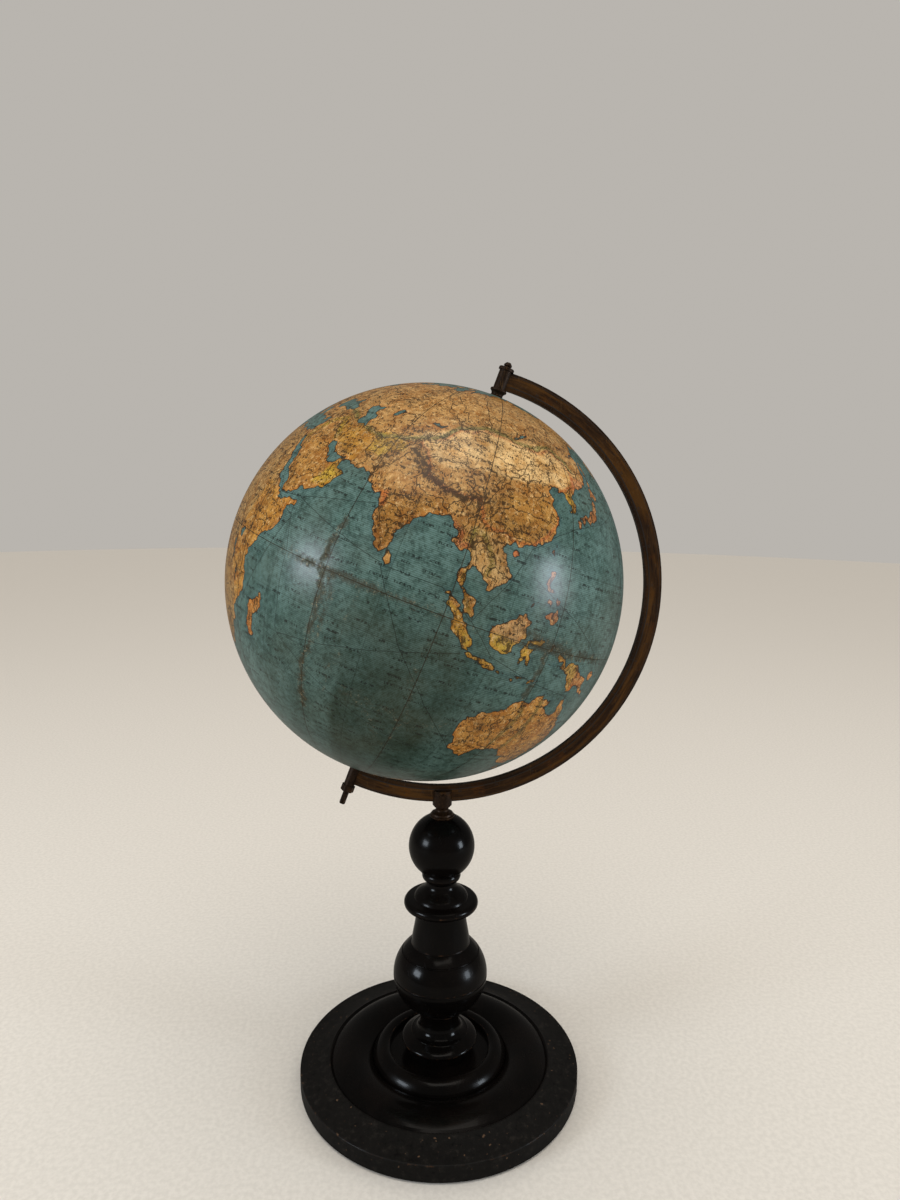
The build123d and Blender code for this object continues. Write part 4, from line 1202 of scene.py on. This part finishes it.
# %% [markdown]
# ## The map: hand-laid washes
# After printing, a colourist laid a wash over each country and a stronger band just inside
# some frontiers. A wash is a colour mixed over the land inside an outline; a band is the same
# but only near the outline's edge, and an edge follows an open line. Each heading gives the
# kind and the colour as red, green and blue. The later ones lie over the earlier ones.

# %% Washes
paper_ochre = srgb(192, 146, 82)
washes = listed("""
fill 190 148 90: 30 72, 180 72, 190 60, 135 42, 120 50, 80 48, 50 40, 30 45;
fill 173 135 79: -20 38, 34 32, 52 12, 42 -5, 40 -36, 10 -36, -20 5;
fill 197 143 60: 34 14, 52 12, 42 -3, 41 -17, 34 -22, 28 -5, 33 5;
fill 186 136 66: 34 31, 48 31, 57 25, 60 22, 52 14, 43 12, 38 22;
fill 244 208 148: 73 41, 88 50, 103 51, 121 53, 135 48, 124 41, 108 38, 92 36, 78 35;
fill 180 132 60: 104 34, 123 38, 122 21, 106 21, 99 23, 98 28;
fill 170 122 52: 76 24, 90 27, 90 20, 79 9, 76 9, 74 16;
fill 197 145 51: 54 37, 61 36, 60 25, 50 30, 44 38;
fill 200 163 53: 61 37, 71 37, 72 34, 66 30, 61 30;
fill 198 165 51: 51 18, 56 26, 61 23, 57 16;
fill 222 186 128: 97 21, 102 22, 110 18, 110 8, 103 8, 99 12;
fill 196 140 62: 112 -10, 155 -9, 155 -40, 112 -40;
fill 202 173 55: 94 7, 96 7, 107 -3, 107 -7, 94 0;
fill 198 147 51: 98 2, 103 1, 104 -4, 101 -4;
fill 200 169 53: 104 -5, 132 -7, 131 -11, 104 -10;
fill 218 177 122: 108 1, 114 6, 121 8, 120 0, 112 -1;
fill 204 173 60: 108 0, 120 0, 118 -5, 108 -5;
fill 204 173 53: 118 2, 126 3, 125 -6, 118 -6;
fill 198 135 87: 117 20, 128 20, 128 4, 117 5;
fill 202 173 82: 129 1, 141 -1, 141 -11, 129 -9;
fill 208 139 72: 141 -1, 154 -2, 154 -12, 141 -11;
fill 218 187 129: 79 10.5, 82.5 10, 82.5 5, 79 5;
fill 204 137 60: 42 -11, 51 -11, 51 -27, 42 -27;
fill 204 179 70: 124.4 40, 128 40.5, 130.5 37, 129.8 34, 125 34;
fill 204 145 101: 129 46, 147 46, 143 33, 129 30;
fill 200 108 72: 108 21, 112 21, 111 18, 108 18;
fill 202 130 96: -130 49, -60 49, -60 24, -115 24;
fill 208 173 68: -118 33, -97 33, -86 15, -106 15;
fill 193 163 82: -75 12, -34 0, -34 -30, -58 -30, -66 -10;
fill 204 131 89: -82 0, -70 0, -66 -56, -78 -56;
band 208 90 44: 73.5 39.5, 80 42, 83 47, 92 50.7, 103 50.3, 114 50, 121 53.3, 131 47.8, 130.7 42.5,
124 40, 121 38, 122 30, 114 22, 108 21.6, 102 22.5, 98.7 24, 96.5 28.5, 88.5 27.8, 81 30.3,
78.5 35, 74.8 37.3;
edge 118 128 72: 41.5 41.5, 48.5 38.6, 53.8 37.2, 61.3 36, 67 37.3, 73.5 39.5, 80 42.6, 83 47.6,
92 51.3, 103 51, 114 50.7, 121 54, 131 48.4;
edge 124 114 43: 97.8 21, 98 17, 98.7 14, 98.9 10, 100.2 6.6, 101.5 4.5, 103.4 1.6;
edge 130 118 49: 101 20, 103.5 17.5, 104.5 14.8, 103.5 12;
edge 131 122 53: 98 21.5, 101 20.8;
edge 130 116 56: 127.6 -14.8, 128.6 -22, 127.6 -32;
edge 137 122 65: 133.2 -11.8, 133.8 -22, 132.4 -32;
edge 210 116 53: 74 19, 73.6 22, 70 20.5;
edge 193 118 79: 92.5 21, 95 19.5, 95 16.5, 97.5 17;
edge 193 165 51: 34.2 27, 36 31, 39 36, 44 38, 48 31
""")
tint = np.empty((*grid_shape, 4))
tint[:] = paper_ochre


def smooth(value, low, high):
    """The same soft step as the material's, for arrays."""
    part = np.clip((value - low) / (high - low), 0, 1)
    return part * part * (3 - 2 * part)


strength_of = {"fill": 0.85, "band": 0.55, "edge": 0.8}
for heading, corners in washes:
    way, red, green, blue = heading.split()
    colour = np.array(srgb(int(red), int(green), int(blue)))
    line = ragged(corners, way != "edge", 0.8, 0.05)
    gap = offset_to([line], 3.0)[..., 2]
    if way == "edge":
        cover = 1 - smooth(gap, 0.45, 0.85)
    else:
        within = np.where(inside(line), gap, -gap)
        cover = smooth(within, -0.3, 0.5)
    if way == "band":
        cover *= 1 - smooth(np.where(inside(line), gap, 9), 0.5, 1.1)
    tint += (colour - tint) * (strength_of[way] * cover)[..., None]
shore_band = (1 - smooth(coast, 0.35, 0.95)) * (coast > 0)
tint += (np.array(srgb(206, 132, 62)) - tint) * (0.35 * shore_band)[..., None]
print("washes", len(washes))

# %% [markdown]
# ## The map: dirt, age and painted shade
# Dirt has collected along the equator, where the two halves of the ball meet, and along some
# seams between the gores. The lower middle of the Indian Ocean has turned brown and green
# under its varnish, most of all on one gore, and the sea there also carries painted shade: it
# is painted darker towards the south and in a broad patch below the middle. The seam at 67.5
# degrees east is as dirty as the equator itself. A mark's heading gives its name, its
# strength and its half width in degrees.

# %% Dirt, age and painted shade
east, north = np.meshgrid(grid_east, grid_north)
fold = (east - first_seam + gore_step / 2) % gore_step - gore_step / 2
seam_gap = np.abs(fold) * np.cos(np.radians(north))
along = np.interp(
    east, [7.5, 50, 62, 80, 92, 104, 115, 122, 142, 160, 367.5],
    [0.15, 0.3, 1.0, 0.85, 0.6, 0.35, 0.7, 1.0, 0.9, 0.3, 0.25],
)
stain = along * np.exp(-(north / 1.5) ** 2)
stain = np.maximum(stain, 0.16 * np.exp(-(seam_gap / 0.6) ** 2))
marks = listed("""
seam_67 0.95 1.3: 67.5 12, 67.4 -2, 68 -14, 67.2 -24, 67.9 -38;
beside_seam_67 0.7 1.3: 69.5 0, 70.5 -8, 69 -18;
crease_77 0.45 0.6: 77.5 -2, 77 -18, 77.4 -36;
seam_97 0.55 0.8: 97.5 -4, 97.3 -20, 97.6 -38;
seam_127 1.0 1.1: 127.5 1, 127 -6, 126.5 -13;
scuff 0.8 1.9: 118 2.4, 124 1.4, 131 1.8, 140 1;
scrape 0.45 1.0: 84 -28, 90 -33, 97 -41;
smear 0.4 1.6: 80 -27, 96 -29, 110 -27
""")
for heading, corners in marks:
    _, strength, width = heading.split()
    gap = offset_to([ragged(corners, False, 0.8, 0.10)], 4.0)[..., 2]
    stain = np.maximum(stain, float(strength) * np.exp(-(gap / float(width)) ** 2))
gore_patch = smooth(east, 75.6, 79.2) * (1 - smooth(east, 104, 116)) * smooth(-north, 1, 9)
gore_patch *= 1 - 0.5 * smooth(-north, 40, 55)
# Painted shade: a broad dark patch round 91 degrees east and 14 south, and a darkening of the
# Indian Ocean towards the south, go into the same mask as the browned gore.
painted_shade_patch = np.exp(-(((east - 91) / 17) ** 2 + ((north + 14) / 15) ** 2))
in_indian = smooth(east, 40, 66) * (1 - smooth(east, 125, 160))
age_and_shade = np.maximum(0.45 * gore_patch, 0.62 * painted_shade_patch) + 0.36 * smooth(-north, 2, 38) * in_indian
age_and_shade = np.clip(age_and_shade, 0, 1)
print("most stained", round(float(stain.max()), 2))

# %% [markdown]
# ## The map: printed lines
# The material turns those numbers into a print. Each line is engraved, so it is a hair thin
# and as dark as the ink allows. A sheet's points are a millimetre or two apart, too far for a
# thin line, but the offset to the line runs evenly between them, and it is zero on the line.

# %% Thin lines from offsets
def attribute(name):
    """What the points of the sheet carry under this name."""
    return node("Attribute", attribute_name=name).outputs


def line_mask(here, name, half_width, wobble):
    """1 on the lines of one kind, `half_width` in degrees; `wobble` shakes them like a hand."""
    offset = attribute(name)["Vector"]
    east_gap, north_gap, distance = parts_of(offset)
    flat = vector_of(east_gap, north_gap, 0.0)
    if wobble:
        push = node("TexNoise", Vector=here, Scale=420.0, Detail=3.0).outputs[1]
        push = vector_sum("SUBTRACT", push, (0.5, 0.5, 0.5))
        push = vector_sum("SCALE", push, Scale=wobble)
        flat = vector_sum("ADD", flat, push)
        east_gap, north_gap, _ = parts_of(flat)
        flat = vector_of(east_gap, north_gap, 0.0)
    thin = step(length_of(flat), half_width * 1.5, half_width * 0.6)
    return times(thin, step(distance, 0.9, 0.6))


wire_step_east = 15.0
wire_step_north = 10.0


def graticule(east, shrink, north):
    """1 on the meridians and parallels."""
    every_east = sum_of("PINGPONG", plus(east, -first_seam), wire_step_east / 2)
    every_north = sum_of("PINGPONG", north, wire_step_north / 2)
    wires = sum_of("MINIMUM", times(every_east, shrink), every_north)
    return times(step(wires, 0.085, 0.03), 0.75)


print("graticule every", wire_step_east, "degrees east and", wire_step_north, "north")

# %% [markdown]
# ## The map: names and soundings
# The real sheets are full of names. Here they are rows of tiny specks in cells chosen at
# random, as long and as dark as a word, and nothing on the paper can be read.

# %% Rows of specks
name_cell = (6.0, 2.4, 1.0)


def word_marks(lonlat):
    """1 on specks that stand for names, in cells that are measured in degrees."""
    in_cells = vector_sum("DIVIDE", lonlat, name_cell)
    cell = vector_sum("FLOOR", in_cells)
    spot = vector_sum("FRACTION", in_cells)
    lot = node("TexWhiteNoise", Vector=cell).outputs
    across, up, _ = parts_of(spot)
    lots = node("SeparateColor", lot[1]).outputs
    middle = plus(0.3, times(lots[0], 0.4))
    row = step(absolute(minus(up, middle)), 0.15, 0.11)
    length = plus(0.45, times(lots[1], 0.45))
    row = times(row, sum_of("LESS_THAN", across, length))
    chosen = sum_of("GREATER_THAN", lots[2], 0.56)
    strokes = specks(lonlat, 0.50, 1.5, 0.5, (1.0, 0.55, 1.0))
    return times(times(row, chosen), step(strokes, 0.49, 0.52))


print("a name has a cell of", name_cell[0], "by", name_cell[1], "degrees")

# %% [markdown]
# ## The map: land
# The engraver shades mountains with short strokes, and fine courses of ink wander between
# them. The hand wash lies over the ink unevenly: darker where the brush stopped, paler where
# the paper has rubbed.

# %% Ink and wash on the land
fine_courses = ((0.0060, 0.75, 0.020, 0.007, 0.5), (0.0130, 0.7, 0.013, 0.006, 0.95))


def land_ink(here, relief_at, names, rivers):
    """Everything the engraver put on the land, as one mask."""
    strokes = specks(here, 0.0023, 3.0, 0.75, (1.0, 1.0, 0.42))
    threshold = minus(0.59, times(relief_at, 0.10))
    hachures = times(step(minus(strokes, threshold), 0.0, 0.05), 0.95)
    ink_here = most(names, rivers)
    for size, roughness, edge, core, strength in fine_courses:
        noise = specks(here, size, 4.0, roughness)
        course = step(absolute(minus(noise, 0.5)), edge, core)
        ink_here = most(ink_here, times(course, strength))
    return most(ink_here, hachures)


def land_colours(wash_at, relief_at, tone, mottle, ink_here):
    """The wash, worn and darkened, with the ink over it."""
    uneven = (0.58, 0.41, 0.20, 1)
    land = mixed(step(tone, 0.30, 0.70), wash_at, uneven, "MULTIPLY")
    land = mixed(step(mottle, 0.50, 0.70), land, srgb(222, 184, 124))
    land = mixed(times(relief_at, 0.30), land, srgb(92, 62, 30))
    return mixed(times(ink_here, 0.88), land, srgb(34, 19, 8))


print("courses of fine ink", len(fine_courses))

# %% [markdown]
# ## The map: sea
# The sea is a blue-green wash over fine parallel lines, which the engraver ruled from west to
# east. In the Indian Ocean its varnish has aged to a brownish green, and the same mask paints
# shade over it, darker towards the south.

# %% Ink and wash on the sea
ruling_step = 0.46


def sea_colours(here, north, coast_at, age_and_shade_at, broad, tone, mottle, sea_ink):
    """The wash of the sea, its ruled lines every `ruling_step` degrees, and its browned part with
    its painted shade.
    """
    sea = mixed(step(broad, 0.34, 0.68), srgb(97, 126, 120), srgb(77, 106, 99))
    sea = mixed(times(step(tone, 0.42, 0.62), 0.6), sea, srgb(50, 76, 70))
    sea = mixed(times(step(mottle, 0.50, 0.64), 0.42), sea, srgb(112, 144, 140))
    sea = mixed(times(step(mottle, 0.49, 0.38), 0.6), sea, srgb(28, 42, 34))
    ruled = plus(times(north, 2 * pi / ruling_step), times(mottle, 2.0))
    ruled = step(sum_of("SINE", ruled), 0.0, 0.9)
    ruled = times(ruled, plus(0.28, times(tone, 0.30)))
    sea = mixed(ruled, sea, srgb(28, 42, 38))
    water_lines = times(step(coast_at, -1.3, 0.0), 0.25)
    sea = mixed(water_lines, sea, srgb(56, 92, 98))
    cross = step(specks(here, 0.0015, 3.0, 0.8), 0.52, 0.66)
    browned_and_shaded = times(age_and_shade_at, plus(0.58, times(broad, 0.5)))
    browned_and_shaded = plus(browned_and_shaded, times(cross, times(age_and_shade_at, 0.25)))
    sea = mixed(browned_and_shaded, sea, srgb(27, 34, 15))
    return mixed(times(sea_ink, 0.8), sea, srgb(22, 28, 25))


print("the sea is ruled every", ruling_step, "degrees")

# %% [markdown]
# ## The map: the finished paper
# Near a coast the distance is shaken by fine noise, so the coast stays ragged however close
# one looks. Dirt, cut edges and yellowed varnish come last, over land and sea alike. The
# varnish is a clear coat, and it has gone dull where it is old or dirty, and under the painted
# shade.

# %% Printed and varnished paper
def map_paper():
    """The whole print: land and sea, then cuts, coast, dirt and varnish over both."""
    made, shader = new_finish("map_paper")
    here = own_place()
    coast_at, relief_at, stain_at, age_and_shade_at = (
        attribute(name)["Fac"] for name in ("coast", "relief", "stain", "age_and_shade")
    )
    wash_at = attribute("tint")["Color"]
    lonlat = node("UVMap", uv_map="lonlat").outputs[0]
    east, north, _ = parts_of(lonlat)
    shrink = sum_of("COSINE", times(north, pi / 180))
    shake = minus(specks(here, 0.0042, 6.0, 0.7), 0.5)
    coast_at = plus(coast_at, times(shake, 1.05))
    land = step(coast_at, -0.03, 0.03)
    rivers = times(line_mask(here, "ink", 0.11, 0.45), land)
    tracks = times(line_mask(here, "track", 0.075, 0.0), minus(1.0, land))
    wires = graticule(east, shrink, north)
    names = word_marks(lonlat)
    broad = specks(here, 0.045, 4.0, 0.6)
    tone = specks(here, 0.011, 5.0, 0.7)
    mottle = specks(here, 0.0032, 5.0, 0.8)

    on_land = land_ink(here, relief_at, names, rivers)
    on_land = land_colours(wash_at, relief_at, tone, mottle, on_land)
    on_land = mixed(times(wires, 0.5), on_land, srgb(60, 40, 24))
    at_sea = most(most(names, tracks), wires)
    at_sea = sea_colours(here, north, coast_at, age_and_shade_at, broad, tone, mottle, at_sea)
    colour = mixed(land, at_sea, on_land)
    cut_edge = sum_of("PINGPONG", plus(east, -first_seam), gore_step / 2)
    cut_edge = sum_of("MINIMUM", times(cut_edge, shrink), absolute(north))
    cut_edge = times(step(cut_edge, 0.16, 0.04), 0.85)
    colour = mixed(cut_edge, colour, srgb(40, 32, 20))
    coast_ink = times(step(absolute(coast_at), 0.16, 0.06), 0.9)
    colour = mixed(coast_ink, colour, srgb(34, 23, 15))

    grime = minus(specks(here, 0.007, 7.0, 0.85), 0.5)
    dirt = step(plus(stain_at, times(grime, 3.2)), 0.35, 1.05)
    dirt = times(dirt, step(stain_at, 0.04, 0.45))
    colour = mixed(times(dirt, 0.72), colour, srgb(58, 48, 30))
    crackle = step(specks(here, 0.0026, 4.0, 0.9), 0.58, 0.64)
    crackle = times(times(crackle, stain_at), 0.6)
    colour = mixed(crackle, colour, srgb(176, 164, 132))
    blotches = use_group(ageing, Place=here, Blotch_Size=0.05, Scratch_Size=0.003)["Blotches"]
    colour = mixed(times(blotches, 0.14), colour, srgb(80, 66, 34))
    rough = plus(plus(0.28, times(blotches, 0.08)), times(dirt, 0.25))
    varnish = minus(0.34, times(most(age_and_shade_at, dirt), 0.34))
    feed_all(shader, Base_Color=colour, Roughness=rough, Specular_IOR_Level=0.2)
    feed_all(shader, Coat_Weight=varnish, Coat_Roughness=0.24)
    tooth = specks(here, 0.0008, 3.0, 0.7)
    cockle = plus(times(broad, 1.5), times(tooth, 0.18))
    raise_by(shader, 0.35, 0.0004, minus(cockle, times(dirt, 0.12)))
    return made


paper = map_paper()
print("paper nodes", len(paper.node_tree.nodes))

# %% [markdown]
# ## The map: twenty-four half gores
# Each half gore is one sheet of paper from the equator to a pole. A flat grid is created,
# its points are wrapped onto the ball by their own east and north, and Solidify gives the
# sheet its thickness towards the ball. The grid carries the map's numbers with it.

# %% Reading the grid between its points
def read_grid(values, east, north):
    """A value of the half-degree grid between its points."""
    across = (np.asarray(east) - first_seam) / grid_step
    up = (np.asarray(north) + 90) / grid_step
    column = np.clip(across.astype(int), 0, grid_shape[1] - 2)
    row = np.clip(up.astype(int), 0, grid_shape[0] - 2)
    right = across - column
    above = up - row
    if values.ndim == 3:
        right = right[:, None]
        above = above[:, None]
    low = values[row, column] * (1 - right) + values[row, column + 1] * right
    high = values[row + 1, column] * (1 - right) + values[row + 1, column + 1] * right
    return low * (1 - above) + high * above


seam_stain = read_grid(stain, [67.5], [-5.0])[0]
print("stain on the dirty seam", round(float(seam_stain), 2))

# %% Gore sheets
paper_thickness = 0.4 * MM
bush_hole = 4.65 * MM
half_gap = 0.06 * MM
half_seam = degrees(half_gap / globe_radius)
pole_stop = 90 - degrees(bush_hole / globe_radius)
columns, rows = 60, 176


def gore_sheet(index, side):
    """One sheet of the map; side is 1 for north and -1 for south."""
    west = first_seam + gore_step * index + half_seam
    width = gore_step - 2 * half_seam
    work = bmesh.new()
    bmesh.ops.create_grid(work, x_segments=columns, y_segments=rows, size=0.5)
    lonlat = work.loops.layers.uv.new("lonlat")
    east = np.empty(len(work.verts))
    north = np.empty(len(work.verts))
    for number, vert in enumerate(work.verts):
        east[number] = west + (vert.co.x + 0.5) * width
        north[number] = side * (half_seam + (vert.co.y + 0.5) * (pole_stop - half_seam))
        turn = radians(east[number] - front_longitude - 90)
        rise = radians(north[number])
        spot = Vector((cos(rise) * cos(turn), cos(rise) * sin(turn), sin(rise)))
        vert.co = tilted @ (spot * globe_radius)
    if side < 0:
        bmesh.ops.reverse_faces(work, faces=work.faces)
    for edge in work.edges:
        edge.smooth = not edge.is_boundary
    for face in work.faces:
        for loop in face.loops:
            number = loop.vert.index
            loop[lonlat].uv = (east[number], north[number])
    name = f"{'north' if side > 0 else 'south'}_gore_sheet_{index + 1:02d}"
    made = piece(name, work, paper, "globe", smooth=True)
    for label, values in (("coast", coast), ("relief", relief), ("stain", stain), ("age_and_shade", age_and_shade)):
        layer = made.data.attributes.new(label, "FLOAT", "POINT")
        layer.data.foreach_set("value", read_grid(values, east, north).astype(np.float32))
    for label, values in (("ink", ink), ("track", track)):
        layer = made.data.attributes.new(label, "FLOAT_VECTOR", "POINT")
        layer.data.foreach_set("vector", read_grid(values, east, north).astype(np.float32).ravel())
    layer = made.data.attributes.new("tint", "FLOAT_COLOR", "POINT")
    layer.data.foreach_set("color", read_grid(tint, east, north).astype(np.float32).ravel())
    thick = made.modifiers.new("paper", "SOLIDIFY")
    thick.thickness = paper_thickness
    thick.offset = -1
    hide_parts(name.replace("_sheet", ""))
    return made


sheets = [gore_sheet(index, side) for side in (1, -1) for index in range(12)]
print("gore sheets", len(sheets), "faces each", len(sheets[0].data.polygons))
